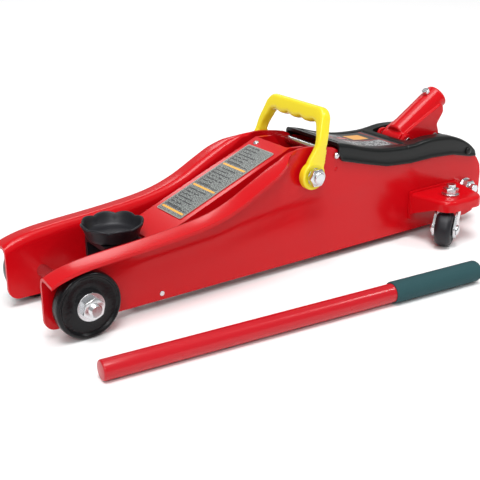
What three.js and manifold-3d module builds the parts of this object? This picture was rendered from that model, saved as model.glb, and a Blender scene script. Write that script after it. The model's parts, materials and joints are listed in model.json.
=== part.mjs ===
// A low two-tonne trolley jack with its loose pump bar, in millimetres, +Z up.
// The lifting end points along -X, the handle end along +X, and the left side is -Y.
// Every size is given from the point of the floor under the middle of the front axle;
// the outer group then moves the whole model so that its box stands centred on the origin.
import * as THREE from "three";
import { mergeVertices } from "three/addons/utils/BufferGeometryUtils.js";
import Module from "manifold-3d";

const wasm = await Module();
wasm.setup();

// ---------------------------------------------------------------- driving dimensions
const GAP = 0.3; // between touching pieces
const RUNNING_FIT = 0.3; // radial play of pins, wheels and shafts
const LEFT = -1;
const RIGHT = 1;
const SIDES = { left: LEFT, right: RIGHT };

// the box of the whole model, which places the origin
const BOX_MIDDLE = { x: 238.5, y: -40.2 };

// side plates
const PLATE_INSIDE = 38;
const PLATE_THICKNESS = 3;
const PLATE_OUTSIDE = PLATE_INSIDE + PLATE_THICKNESS;
const PLATE_FRONT = -35;
const PLATE_REAR = 512;
const PLATE_BOTTOM = 8;
const FLANGE_WIDTH = 16;
const FLANGE_BEND = 8;
const FLANGE_DROOP = 2.4;

// cross rods between the plates
const TIE_ROD = { x: 290.5, z: 113, radius: 4.2, endRadius: 2.5, headRadius: 3.4 };
const ARM_STOP = { x: 83, z: 14.5, radius: 2.6 };

// front wheels
const WHEEL_RADIUS = 31;
const WHEEL_WIDTH = 13;
const WHEEL_OUTSIDE = 60.5;
const AXLE_RADIUS = 6;
const AXLE_NUT = { washer: 13.2, flats: 19, height: 8 };
const AXLE_END = 73;

// lift arm and its four-bar linkage
const ARM_PIVOT = { x: 254, z: 100 };
const SADDLE_PIN = { x: 60, z: 38, radius: 5 };
const LINK_DROP = 20; // the levelling rods run this far below the arm
const ARM_HALF_WIDTH = 28;
const ARM_WALL = 4;
const ARM_TOP = { front: { x: 84, z: 61.3 }, rear: { x: 240.5, z: 125.3 } };
const LUG_RADIUS = 45;
const LUG_ANGLE = THREE.MathUtils.degToRad(35);
const LUG_PIN_RADIUS = 5;
const ROD_INSIDE = 31;
const ROD_THICKNESS = 4;
const ROD_HEIGHT = 12.4;
const ROD_PIN_RADIUS = 4;

// saddle
const SADDLE_X = 56;
const SADDLE_RADIUS = 30;
const SADDLE_SEAT = 64;
const SADDLE_LOBES = 8;
const POST_RADIUS = 8;
const CARRIER = { front: 37, rear: 77, halfWidth: 20, wall: 4, deck: 5 };

// hydraulic unit
const RAM_Z = 59;
const RAM_RADIUS = 11;
const TANK = { front: 312, rear: 391.7, outside: 27, inside: 24 };
const PUMP_BLOCK = { front: 392, rear: 500, halfWidth: 34, bottom: 16, top: 62 };
const UNIT_STUD = { x: 486.5, z: 44.5, radius: 5, end: 58, flats: 15 };
const VALVE = { x: 435, radius: 4 };
const FILLER_X = 350;

// handle socket
const SOCKET_PIVOT = { x: 412, z: 104 };
const SOCKET_TILT = THREE.MathUtils.degToRad(32);
const SOCKET_LENGTH = 74;
const SOCKET_OUTSIDE = 13.5;
const SOCKET_BORE = 10;
const ROLLER = { reach: 46, drop: 1, radius: 7.5, halfWidth: 10 };
const PLUNGER_RADIUS = 7;

// carry handle
const CARRY_LEAN = THREE.MathUtils.degToRad(19);
const CARRY_HEIGHT = 67.5;
const CARRY_EYE = { inside: 44.4, outside: 52.4, radius: 14 };

// rear cover
const COVER = { front: 292.5, rear: 498, halfWidth: 43.8, wall: 2.3, crown: 2.5 };
const COVER_OPENING = { front: 401, rear: 480, halfWidth: 29 };

// rear brackets and casters
const KINGPIN = { x: 432, y: 70.5, radius: 5, flats: 15 };
const SHELF_TOP = 52;
const SHELF_THICKNESS = 3;
const CASTER_RADIUS = 19;
const CASTER_WIDTH = 18;
const CASTER_TRAIL = 19;
const CASTER_AXLE_RADIUS = 4;
const CASTER_YAW = THREE.MathUtils.degToRad(33);

// loose pump bar
const BAR = { radius: 9, wall: 1.8, length: 400, gripLength: 106, gripRadius: 10.5 };
const BAR_FRONT_END = { x: -28, y: -130.5 };
const BAR_TURN = THREE.MathUtils.degToRad(-5.23);

// ---------------------------------------------------------------- materials
const finish = (color, roughness, metalness) =>
  new THREE.MeshStandardMaterial({ color, roughness, metalness });
const RED_PAINT = finish(0xc8141c, 0.28, 0.0);
const BLACK_PAINT = finish(0x111214, 0.25, 0.0);
const BLACK_PLASTIC = finish(0x2a2c2c, 0.45, 0.0);
const YELLOW_PLASTIC = finish(0xf0dc20, 0.35, 0.0);
const ZINC = finish(0xbfc4c6, 0.3, 0.9);
const STEEL = finish(0x9a9da0, 0.35, 0.9);
const LABEL_GREY = finish(0x8c9590, 0.6, 0.0);
const LABEL_DARK = finish(0x3a3d3c, 0.5, 0.0);
const RUBBER_GRIP = finish(0x0f3a3c, 0.55, 0.0);
const BLACK_RUBBER = finish(0x1a1a1a, 0.8, 0.0);
const SPRING_STEEL = finish(0x6e7072, 0.4, 0.8);

// ---------------------------------------------------------------- solids
function toSolid(geometry) {
  const bare = geometry.clone();
  bare.deleteAttribute("normal");
  bare.deleteAttribute("uv");
  const merged = mergeVertices(bare, 1e-4);
  const index = merged.index.array;
  const triangles = [];
  for (let i = 0; i < index.length; i += 3) {
    const [a, b, c] = [index[i], index[i + 1], index[i + 2]];
    if (a !== b && b !== c && c !== a) triangles.push(a, b, c);
  }
  const mesh = new wasm.Mesh({
    numProp: 3,
    vertProperties: new Float32Array(merged.attributes.position.array),
    triVerts: new Uint32Array(triangles),
  });
  return new wasm.Manifold(mesh);
}

function toGeometry(solid) {
  const mesh = solid.getMesh();
  const geometry = new THREE.BufferGeometry();
  geometry.setAttribute("position", new THREE.BufferAttribute(mesh.vertProperties, 3));
  geometry.setIndex(new THREE.BufferAttribute(mesh.triVerts, 1));
  return geometry;
}

const join = (first, ...others) =>
  toGeometry(others.reduce((sum, g) => sum.add(toSolid(g)), toSolid(first)));

const cut = (first, ...others) =>
  toGeometry(others.reduce((rest, g) => rest.subtract(toSolid(g)), toSolid(first)));

// The same geometry on the other side of the XZ plane.
function mirrored(geometry) {
  const copy = toGeometry(toSolid(geometry));
  copy.scale(1, -1, 1);
  const index = copy.index.array;
  for (let i = 0; i < index.length; i += 3) [index[i], index[i + 1]] = [index[i + 1], index[i]];
  return copy;
}

const onSide = (side, geometry) => (side === LEFT ? geometry : mirrored(geometry));

// ---------------------------------------------------------------- outlines
const asShape = (points) => new THREE.Shape(points.map(([x, y]) => new THREE.Vector2(x, y)));

// A closed outline through corners [x, y, radius], with the corners rounded to tangent arcs.
function roundedShape(corners, steps = 3) {
  const points = [];
  corners.forEach(([x, y, radius = 0], i) => {
    const corner = new THREE.Vector2(x, y);
    if (radius === 0) {
      points.push(corner);
      return;
    }
    const [px, py] = corners.at(i - 1);
    const [nx, ny] = corners[(i + 1) % corners.length];
    const toPrevious = new THREE.Vector2(px, py).sub(corner).normalize();
    const toNext = new THREE.Vector2(nx, ny).sub(corner).normalize();
    const half = Math.acos(THREE.MathUtils.clamp(toPrevious.dot(toNext), -1, 1)) / 2;
    const centre = toPrevious.clone().add(toNext).normalize();
    centre.multiplyScalar(radius / Math.sin(half)).add(corner);
    const start = toPrevious.clone().multiplyScalar(radius / Math.tan(half)).add(corner).sub(centre);
    const end = toNext.clone().multiplyScalar(radius / Math.tan(half)).add(corner).sub(centre);
    const sweep = Math.atan2(start.cross(end), start.dot(end));
    for (let k = 0; k <= steps; k++) {
      const turned = start.clone().rotateAround(new THREE.Vector2(), (sweep * k) / steps);
      points.push(turned.add(centre));
    }
  });
  return new THREE.Shape(points);
}

const circleShape = (x, y, radius, sides = 16) =>
  new THREE.Shape(
    Array.from({ length: sides }, (_, i) => {
      const angle = (2 * Math.PI * i) / sides;
      return new THREE.Vector2(x + radius * Math.cos(angle), y + radius * Math.sin(angle));
    }),
  );

function extruded(shape, depth, holes = []) {
  shape.holes.push(...holes);
  return new THREE.ExtrudeGeometry(shape, { depth, bevelEnabled: false, curveSegments: 8 });
}

// A shape drawn in (x, z), from y0 up to y1.
function plateAlongY(shape, y0, y1, holes) {
  return extruded(shape, y1 - y0, holes).rotateX(Math.PI / 2).translate(0, y1, 0);
}

// A shape drawn in (x, y), from z0 up to z1.
const plateAlongZ = (shape, z0, z1, holes) => extruded(shape, z1 - z0, holes).translate(0, 0, z0);

// A shape drawn in (y, z), from x0 up to x1.
function plateAlongX(shape, x0, x1, holes) {
  const turn = new THREE.Matrix4().makeBasis(
    new THREE.Vector3(0, 1, 0),
    new THREE.Vector3(0, 0, 1),
    new THREE.Vector3(1, 0, 0),
  );
  return extruded(shape, x1 - x0, holes).applyMatrix4(turn).translate(x0, 0, 0);
}

const box = (x0, x1, y0, y1, z0, z1) =>
  new THREE.BoxGeometry(x1 - x0, y1 - y0, z1 - z0)
    .translate((x0 + x1) / 2, (y0 + y1) / 2, (z0 + z1) / 2);

const rodY = (x, z, radius, y0, y1, sides = 16) =>
  new THREE.CylinderGeometry(radius, radius, y1 - y0, sides).translate(x, (y0 + y1) / 2, z);

const rodZ = (x, y, radius, z0, z1, sides = 16) =>
  new THREE.CylinderGeometry(radius, radius, z1 - z0, sides)
    .rotateX(Math.PI / 2)
    .translate(x, y, (z0 + z1) / 2);

const rodX = (y, z, radius, x0, x1, sides = 20) =>
  new THREE.CylinderGeometry(radius, radius, x1 - x0, sides)
    .rotateZ(-Math.PI / 2)
    .translate((x0 + x1) / 2, y, z);

// A hexagonal prism along Y, given across its flats.
const hexY = (x, z, flats, y0, y1) => rodY(x, z, flats / Math.sqrt(3), y0, y1, 6);

// A solid turned about the Y axis from a profile of [radius, y] points.
function turned(profile, segments = 28) {
  const points = profile.map(([r, y]) => new THREE.Vector2(r, y));
  const onAxis = profile[0][0] === 0 && profile.at(-1)[0] === 0;
  if (!onAxis) points.push(points[0].clone());
  const geometry = toGeometry(toSolid(new THREE.LatheGeometry(points, segments)));
  return facingOut(geometry);
}

function facingOut(geometry) {
  const p = geometry.attributes.position;
  const index = geometry.index.array;
  const [a, b, c] = [new THREE.Vector3(), new THREE.Vector3(), new THREE.Vector3()];
  let volume = 0;
  for (let i = 0; i < index.length; i += 3) {
    a.fromBufferAttribute(p, index[i]);
    b.fromBufferAttribute(p, index[i + 1]);
    c.fromBufferAttribute(p, index[i + 2]);
    volume += a.dot(b.cross(c));
  }
  if (volume < 0) {
    for (let i = 0; i < index.length; i += 3) [index[i], index[i + 1]] = [index[i + 1], index[i]];
  }
  return geometry;
}

// A wheel turned so that it stands on a facet; the facets, not the edges, are at the full radius.
function turnedWheel(profile, segments) {
  const stretch = 1 / Math.cos(Math.PI / segments);
  const stretched = profile.map(([r, y]) => [r * stretch, y]);
  return turned(stretched, segments).rotateY(Math.PI / segments);
}

const tube = (outside, inside, length, segments = 24) =>
  turned([[inside, 0], [outside, 0], [outside, length], [inside, length]], segments);

// ---------------------------------------------------------------- the scene graph
const jack = new THREE.Group();

function add(name, geometry, material, parent = jack) {
  const mesh = new THREE.Mesh(geometry, material);
  mesh.name = name;
  parent.add(mesh);
  return mesh;
}

// ---------------------------------------------------------------- side plates
// The top line of a plate where its flange is bent outwards, from the nose to the carry handle.
const FLANGE_LINE = new THREE.SplineCurve(
  [
    [PLATE_FRONT, 60.5],
    [-30, 63],
    [-22, 65.8],
    [-11, 68.4],
    [4, 70.6],
    [26, 72.6],
    [55, 74.6],
    [85, 77.2],
    [115, 80.8],
    [138, 85.8],
    [160, 94],
    [184, 106.3],
    [207, 117.6],
    [228, 125.4],
    [248, 127.4],
  ].map(([x, z]) => new THREE.Vector2(x, z)),
);
const FLANGE_STATIONS = 26;

// The top line of the cover's skirts; the plates' own top stays below it.
const COVER_LINE = new THREE.SplineCurve(
  [
    [COVER.front, 121.5],
    [308, 118],
    [330, 111.3],
    [359, 105.4],
    [395, 103.4],
    [426, 106],
    [455, 103.6],
    [474, 98],
    [490, 89.5],
    [COVER.rear, 82.5],
  ].map(([x, z]) => new THREE.Vector2(x, z)),
);
const COVER_STATIONS = 16;

function flangeStations() {
  const stations = [];
  for (let i = 0; i <= FLANGE_STATIONS; i++) {
    const t = i / FLANGE_STATIONS;
    const point = FLANGE_LINE.getPoint(t);
    const along = FLANGE_LINE.getTangent(t);
    const up = new THREE.Vector2(-along.y, along.x);
    stations.push({ point, up });
  }
  return stations;
}

// How much of the flange's full width stands at a place along the plate.
function flangeShare(x) {
  const nose = THREE.MathUtils.smoothstep(x, PLATE_FRONT - 9, PLATE_FRONT + 1);
  const tail = 1 - THREE.MathUtils.smoothstep(x, 196, 244);
  return Math.max(0.04, Math.min(nose, tail));
}

// One cross-section of the bent flange: [distance out from the plate's inner face, height].
function flangeSection(share) {
  const bend = Math.max(FLANGE_BEND * Math.min(1, share * 1.6), PLATE_THICKNESS + 0.2);
  const inner = bend - PLATE_THICKNESS;
  const width = FLANGE_WIDTH * share;
  const droop = FLANGE_DROOP * share;
  const arcSteps = 2;
  const outer = [];
  const under = [];
  for (let k = 0; k <= arcSteps; k++) {
    const angle = (Math.PI / 2) * (k / arcSteps);
    outer.push([bend - bend * Math.cos(angle), -bend + bend * Math.sin(angle)]);
    under.push([bend - inner * Math.cos(angle), -bend + inner * Math.sin(angle)]);
  }
  return [
    [0, -FLANGE_BEND - 2],
    ...outer,
    [bend + width, -droop],
    [bend + width, -droop - PLATE_THICKNESS],
    ...under.reverse(),
    [PLATE_THICKNESS, -FLANGE_BEND - 2],
  ];
}

function flangeStrip() {
  const stations = flangeStations().map(({ point, up }) => {
    const section = flangeSection(flangeShare(point.x));
    const ring = section.map(([out, height]) => [
      point.x + up.x * height,
      -PLATE_INSIDE - out,
      point.y + up.y * height,
    ]);
    return { section, ring };
  });
  return loft(
    stations.map(({ ring }) => ring),
    stations.map(({ section }) => section),
  );
}

// A closed solid through rings of points, all with the same count. The sections are the same rings
// in two dimensions, from which the flat ends are filled.
function loft(rings, sections) {
  const size = rings[0].length;
  const positions = rings.flat(2);
  const index = [];
  for (let i = 0; i < rings.length - 1; i++) {
    for (let k = 0; k < size; k++) {
      const a = i * size + k;
      const b = i * size + ((k + 1) % size);
      index.push(a, b, b + size, a, b + size, a + size);
    }
  }
  const fillEnd = (section, offset, flip) => {
    const flat = section.map(([out, height]) => new THREE.Vector2(out, height));
    for (const [a, b, c] of THREE.ShapeUtils.triangulateShape(flat, [])) {
      index.push(offset + a, offset + (flip ? c : b), offset + (flip ? b : c));
    }
  };
  fillEnd(sections[0], 0, false);
  fillEnd(sections.at(-1), (rings.length - 1) * size, true);
  const geometry = new THREE.BufferGeometry();
  geometry.setAttribute("position", new THREE.Float32BufferAttribute(positions, 3));
  geometry.setIndex(index);
  return facingOut(geometry);
}

function webOutline() {
  const belowFlange = flangeStations().map(({ point, up }) => [
    point.x - up.x * FLANGE_BEND,
    point.y - up.y * FLANGE_BEND,
  ]);
  const underCover = [];
  for (let i = 0; i <= 12; i++) {
    const { x, y } = COVER_LINE.getPoint(i / 12);
    if (x > 300 && x < 474) underCover.push([x, y - 4]);
  }
  const outline = [
    [PLATE_FRONT, 52],
    ...belowFlange.filter(([x]) => x > PLATE_FRONT + 1),
    [248, 127.4],
    [264, 126],
    [288, 121.6],
    [296, 114],
    ...underCover,
  ];
  const rounded = roundedShape(
    [
      [PLATE_FRONT, PLATE_BOTTOM, 11],
      [PLATE_FRONT, 42, 0],
      [PLATE_REAR - 40, 60, 0],
      [PLATE_REAR, 60, 0],
      [PLATE_REAR, PLATE_BOTTOM, 19],
    ],
  ).getPoints();
  const lower = rounded.filter((p) => p.y < 41);
  const front = lower.filter((p) => p.x < 0).map((p) => [p.x, p.y]);
  const rear = lower.filter((p) => p.x > 0).map((p) => [p.x, p.y]);
  const rearTop = [
    [480, 92],
    [489, 87],
    [497.5, 81],
    [504.5, 74.5],
    [510, 66],
    [PLATE_REAR, 56],
  ];
  return [...front, ...outline, ...rearTop, ...rear];
}

function sidePlate() {
  const web = asShape(webOutline());
  const holes = [
    circleShape(0, WHEEL_RADIUS, AXLE_RADIUS + RUNNING_FIT),
    circleShape(ARM_PIVOT.x, ARM_PIVOT.z, AXLE_RADIUS + RUNNING_FIT),
    circleShape(TIE_ROD.x, TIE_ROD.z, TIE_ROD.endRadius + RUNNING_FIT, 16),
    circleShape(UNIT_STUD.x, UNIT_STUD.z, UNIT_STUD.radius + RUNNING_FIT, 16),
    circleShape(ARM_STOP.x, ARM_STOP.z, ARM_STOP.radius + RUNNING_FIT, 16),
  ];
  const plate = plateAlongY(web, -PLATE_OUTSIDE, -PLATE_INSIDE, holes);
  return join(plate, flangeStrip());
}

for (const [name, side] of Object.entries(SIDES)) {
  add(`side_plate_${name}`, onSide(side, sidePlate()), RED_PAINT);
}

function steppedRodY(x, z, radius, halfLength, endRadius, endHalfLength) {
  return join(
    rodY(x, z, radius, -halfLength, halfLength),
    rodY(x, z, endRadius, -endHalfLength, endHalfLength),
  );
}

add(
  "cover_tie_rod",
  join(
    steppedRodY(
      TIE_ROD.x,
      TIE_ROD.z,
      TIE_ROD.radius,
      PLATE_INSIDE - GAP,
      TIE_ROD.endRadius,
      PLATE_OUTSIDE + 1,
    ),
    ...[LEFT, RIGHT].map((side) =>
      new THREE.SphereGeometry(TIE_ROD.headRadius, 10, 6)
        .scale(1, 0.7, 1)
        .translate(TIE_ROD.x, side * (PLATE_OUTSIDE + 2.8), TIE_ROD.z),
    ),
  ),
  ZINC,
);
add(
  "arm_stop_rod",
  rodY(ARM_STOP.x, ARM_STOP.z, ARM_STOP.radius, -PLATE_OUTSIDE - 0.6, PLATE_OUTSIDE + 0.6),
  ZINC,
);

// ---------------------------------------------------------------- front axle and wheels
add("front_axle", rodY(0, WHEEL_RADIUS, AXLE_RADIUS, -AXLE_END, AXLE_END), ZINC);

// The wheel's outer side is a shallow dish inside a raised rim; its inner side is flat.
function frontWheel() {
  const bore = AXLE_RADIUS + RUNNING_FIT;
  return turnedWheel([
    [bore, 0],
    [WHEEL_RADIUS - 2, 0],
    [WHEEL_RADIUS, 2],
    [WHEEL_RADIUS, WHEEL_WIDTH - 2],
    [WHEEL_RADIUS - 2, WHEEL_WIDTH],
    [WHEEL_RADIUS - 5, WHEEL_WIDTH],
    [WHEEL_RADIUS - 7.5, WHEEL_WIDTH - 2.2],
    [16, WHEEL_WIDTH - 2.2],
    [14.5, WHEEL_WIDTH - 0.4],
    [bore, WHEEL_WIDTH - 0.4],
  ], 32);
}

// A flange nut about Y, standing from y = 0; its bore runs right through.
function flangeNut({ washer, flats, height }) {
  const body = join(
    rodY(0, 0, washer, 0, 1.8, 20),
    hexY(0, 0, flats, 0, height),
  );
  return cut(body, rodY(0, 0, AXLE_RADIUS + RUNNING_FIT, -1, height + 1));
}

for (const [name, side] of Object.entries(SIDES)) {
  const wheel = add(`front_wheel_${name}`, frontWheel(), BLACK_PAINT);
  wheel.position.set(0, side * (WHEEL_OUTSIDE - WHEEL_WIDTH), WHEEL_RADIUS);
  wheel.rotation.z = side === LEFT ? Math.PI : 0;
  const nut = add(`axle_nut_${name}`, flangeNut(AXLE_NUT), ZINC);
  nut.position.set(0, side * (WHEEL_OUTSIDE + GAP), WHEEL_RADIUS);
  nut.rotation.z = side === LEFT ? Math.PI : 0;
}

// ---------------------------------------------------------------- lift arm
const fromPivot = (radius, angle) => ({
  x: ARM_PIVOT.x + radius * Math.sin(angle),
  z: ARM_PIVOT.z - radius * Math.cos(angle),
});
const LUG_PIN = fromPivot(LUG_RADIUS, LUG_ANGLE);

// The notch behind the saddle pin lets the head's lower pin swing past as the arm goes up.
function armWallShape() {
  return roundedShape([
    [ARM_TOP.rear.x, ARM_TOP.rear.z, 0],
    [ARM_TOP.front.x, ARM_TOP.front.z, 6],
    [72, 51, 4],
    [46, 52, 11],
    [47, 26, 11],
    [71, 26, 4],
    [73.5, 38.5, 2],
    [88, 38.5, 4],
    [232, 78, 12],
    [LUG_PIN.x - 14, LUG_PIN.z - 10, 9],
    [LUG_PIN.x + 9.5, LUG_PIN.z - 9, 9],
    [LUG_PIN.x + 9, LUG_PIN.z + 14, 8],
    [274, 92, 8],
    [274, 106, 8],
    [262, 124, 8],
  ]);
}

function liftArm() {
  const slope = Math.atan2(ARM_TOP.rear.z - ARM_TOP.front.z, ARM_TOP.rear.x - ARM_TOP.front.x);
  const length = Math.hypot(ARM_TOP.rear.z - ARM_TOP.front.z, ARM_TOP.rear.x - ARM_TOP.front.x);
  const pivotHole = () => circleShape(ARM_PIVOT.x, ARM_PIVOT.z, AXLE_RADIUS + RUNNING_FIT);
  const walls = [LEFT, RIGHT].map((side) => {
    const [y0, y1] = side === LEFT
      ? [-ARM_HALF_WIDTH, -ARM_HALF_WIDTH + ARM_WALL]
      : [ARM_HALF_WIDTH - ARM_WALL, ARM_HALF_WIDTH];
    return plateAlongY(armWallShape(), y0, y1, [
      pivotHole(),
      circleShape(SADDLE_PIN.x, SADDLE_PIN.z, SADDLE_PIN.radius + RUNNING_FIT, 20),
      circleShape(LUG_PIN.x, LUG_PIN.z, LUG_PIN_RADIUS + RUNNING_FIT, 20),
    ]);
  });
  const top = box(0, length, -ARM_HALF_WIDTH, ARM_HALF_WIDTH, -ARM_WALL, 0)
    .rotateY(-slope)
    .translate(ARM_TOP.front.x, 0, ARM_TOP.front.z);
  const tubeSpacer = cut(
    rodY(ARM_PIVOT.x, ARM_PIVOT.z, 11, -ARM_HALF_WIDTH + 1, ARM_HALF_WIDTH - 1),
    rodY(ARM_PIVOT.x, ARM_PIVOT.z, AXLE_RADIUS + RUNNING_FIT, -ARM_HALF_WIDTH, ARM_HALF_WIDTH),
  );
  return join(walls[0], walls[1], top, tubeSpacer);
}
add("lift_arm", liftArm(), RED_PAINT);

function onArmTop(geometry, distance, height) {
  const slope = Math.atan2(ARM_TOP.rear.z - ARM_TOP.front.z, ARM_TOP.rear.x - ARM_TOP.front.x);
  return geometry
    .translate(distance, 0, height)
    .rotateY(-slope)
    .translate(ARM_TOP.front.x, 0, ARM_TOP.front.z);
}
add("arm_label", onArmTop(box(-60, 60, -21.5, 21.5, 0, 0.6), 95, GAP), LABEL_GREY);
add(
  "arm_rivet",
  onArmTop(new THREE.SphereGeometry(3, 10, 6).scale(1, 1, 0.6).translate(0, 17, 0), 161, 2.2),
  ZINC,
);
add(
  "arm_lug_pin",
  rodY(LUG_PIN.x, LUG_PIN.z, LUG_PIN_RADIUS, -PLATE_INSIDE + 2.5, PLATE_INSIDE - 2.5, 20),
  STEEL,
);

add(
  "arm_pivot_shaft",
  rodY(ARM_PIVOT.x, ARM_PIVOT.z, AXLE_RADIUS, -62, 62),
  STEEL,
);
for (const [name, side] of Object.entries(SIDES)) {
  const nut = cut(
    hexY(0, 0, 17, 0, 7.5),
    rodY(0, 0, AXLE_RADIUS + RUNNING_FIT, -1, 9),
  );
  const mesh = add(`pivot_nut_${name}`, nut, ZINC);
  mesh.position.set(ARM_PIVOT.x, side * (CARRY_EYE.outside + GAP), ARM_PIVOT.z);
  mesh.rotation.z = side === LEFT ? Math.PI : 0;
}

// ---------------------------------------------------------------- saddle, carrier and levelling rods
function saddleCarrier() {
  const cheek = (y0, y1) =>
    plateAlongY(
      roundedShape([
        [CARRIER.front, SADDLE_SEAT - GAP, 0],
        [CARRIER.front, 44, 0],
        [SADDLE_PIN.x - 9, SADDLE_PIN.z - LINK_DROP - 8, 8],
        [SADDLE_PIN.x + 9, SADDLE_PIN.z - LINK_DROP - 8, 8],
        [CARRIER.rear - 4, 44, 6],
        [CARRIER.rear, 54, 0],
        [CARRIER.rear, SADDLE_SEAT - GAP, 0],
      ]),
      y0,
      y1,
      [circleShape(SADDLE_PIN.x, SADDLE_PIN.z, SADDLE_PIN.radius + RUNNING_FIT, 20)],
    );
  const deck = box(
    CARRIER.front,
    CARRIER.rear,
    -CARRIER.halfWidth,
    CARRIER.halfWidth,
    SADDLE_SEAT - GAP - CARRIER.deck,
    SADDLE_SEAT - GAP,
  );
  const pinEnd = ROD_INSIDE + ROD_THICKNESS + 1.5;
  const lowerPin = rodY(SADDLE_PIN.x, SADDLE_PIN.z - LINK_DROP, ROD_PIN_RADIUS, -pinEnd, pinEnd);
  const whole = join(
    deck,
    cheek(-CARRIER.halfWidth, -CARRIER.halfWidth + CARRIER.wall),
    cheek(CARRIER.halfWidth - CARRIER.wall, CARRIER.halfWidth),
    lowerPin,
  );
  return cut(whole, rodZ(SADDLE_X, 0, POST_RADIUS + RUNNING_FIT, 50, 70));
}
add("saddle_carrier", saddleCarrier(), BLACK_PAINT);
add(
  "saddle_pin",
  rodY(SADDLE_PIN.x, SADDLE_PIN.z, SADDLE_PIN.radius, -ARM_HALF_WIDTH - 1.5, ARM_HALF_WIDTH + 1.5, 20),
  STEEL,
);

// A cup on a short post; its rim is cut into lobes.
function saddleCup() {
  const cup = turned(
    [
      [0, -14],
      [POST_RADIUS, -14],
      [POST_RADIUS, 0],
      [21, 0],
      [24, 3],
      [26.5, 10],
      [SADDLE_RADIUS, 13],
      [SADDLE_RADIUS, 16],
      [SADDLE_RADIUS - 3, 16],
      [24, 9],
      [21, 6.5],
      [0, 6.5],
    ],
    32,
  ).rotateX(Math.PI / 2);
  const notches = Array.from({ length: SADDLE_LOBES }, (_, i) =>
    rodX(0, 17.5, 4.5, 20, 34, 8).rotateZ((2 * Math.PI * (i + 0.5)) / SADDLE_LOBES),
  );
  return cut(cup, ...notches);
}
add("saddle", saddleCup(), BLACK_PAINT).position.set(SADDLE_X, 0, SADDLE_SEAT);

function levellingRod() {
  const from = { x: ARM_PIVOT.x, z: ARM_PIVOT.z - LINK_DROP };
  const to = { x: SADDLE_PIN.x, z: SADDLE_PIN.z - LINK_DROP };
  const length = Math.hypot(to.x - from.x, to.z - from.z);
  const angle = Math.atan2(to.z - from.z, to.x - from.x);
  const half = ROD_HEIGHT / 2;
  const bar = roundedShape([
    [-half - 1, -half, half - 0.1],
    [length + half + 1, -half, half - 0.1],
    [length + half + 1, half, half - 0.1],
    [-half - 1, half, half - 0.1],
  ]);
  return plateAlongY(bar, -ROD_INSIDE - ROD_THICKNESS, -ROD_INSIDE, [
    circleShape(0, 0, ROD_PIN_RADIUS + RUNNING_FIT),
    circleShape(length, 0, ROD_PIN_RADIUS + RUNNING_FIT),
  ])
    .rotateY(-angle)
    .translate(from.x, 0, from.z);
}
for (const [name, side] of Object.entries(SIDES)) {
  add(`levelling_rod_${name}`, onSide(side, levellingRod()), BLACK_PAINT);
  const pin = rodY(
    ARM_PIVOT.x,
    ARM_PIVOT.z - LINK_DROP,
    ROD_PIN_RADIUS,
    -PLATE_INSIDE + GAP,
    -ROD_INSIDE + 1.5,
  );
  add(`rod_pivot_pin_${name}`, onSide(side, pin), STEEL);
}

// ---------------------------------------------------------------- hydraulic unit
function clevis() {
  const tongue = plateAlongY(
    roundedShape([
      [LUG_PIN.x - 11, 43, 8],
      [LUG_PIN.x + 14, 43, 4],
      [LUG_PIN.x + 14, 75, 4],
      [LUG_PIN.x - 11, 75, 8],
    ]),
    -9,
    9,
    [
      roundedShape([
        [LUG_PIN.x - LUG_PIN_RADIUS - 0.9, 49, 5.8],
        [LUG_PIN.x + LUG_PIN_RADIUS + 0.9, 49, 5.8],
        [LUG_PIN.x + LUG_PIN_RADIUS + 0.9, 69.4, 5.8],
        [LUG_PIN.x - LUG_PIN_RADIUS - 0.9, 69.4, 5.8],
      ]),
    ],
  );
  return join(tongue, rodX(0, RAM_Z, RAM_RADIUS - 2, LUG_PIN.x + 10, LUG_PIN.x + 15.6));
}
add("ram_clevis", clevis(), STEEL);
add("ram", rodX(0, RAM_Z, RAM_RADIUS, LUG_PIN.x + 16, 386), STEEL);

const alongX = (geometry, x, z) => geometry.rotateZ(-Math.PI / 2).translate(x, 0, z);
add(
  "cylinder_head",
  alongX(tube(26, RAM_RADIUS + RUNNING_FIT, 14), TANK.front - 14 - GAP, RAM_Z),
  STEEL,
);
add(
  "ram_cylinder",
  alongX(tube(15, RAM_RADIUS + RUNNING_FIT, TANK.rear - TANK.front, 20), TANK.front, RAM_Z),
  STEEL,
);

function tank() {
  const shell = alongX(tube(TANK.outside, TANK.inside, TANK.rear - TANK.front, 28), TANK.front, RAM_Z);
  return cut(shell, rodZ(FILLER_X, 0, 4.5, RAM_Z + 10, RAM_Z + 40, 16));
}
add("oil_tank", tank(), RED_PAINT);
const plug = join(
  rodZ(FILLER_X, 0, 4.2, RAM_Z + 22, RAM_Z + 28, 16),
  rodZ(FILLER_X, 0, 7, RAM_Z + 27.5, RAM_Z + 30.5, 20),
);
add("filler_plug", plug, BLACK_RUBBER);

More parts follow.
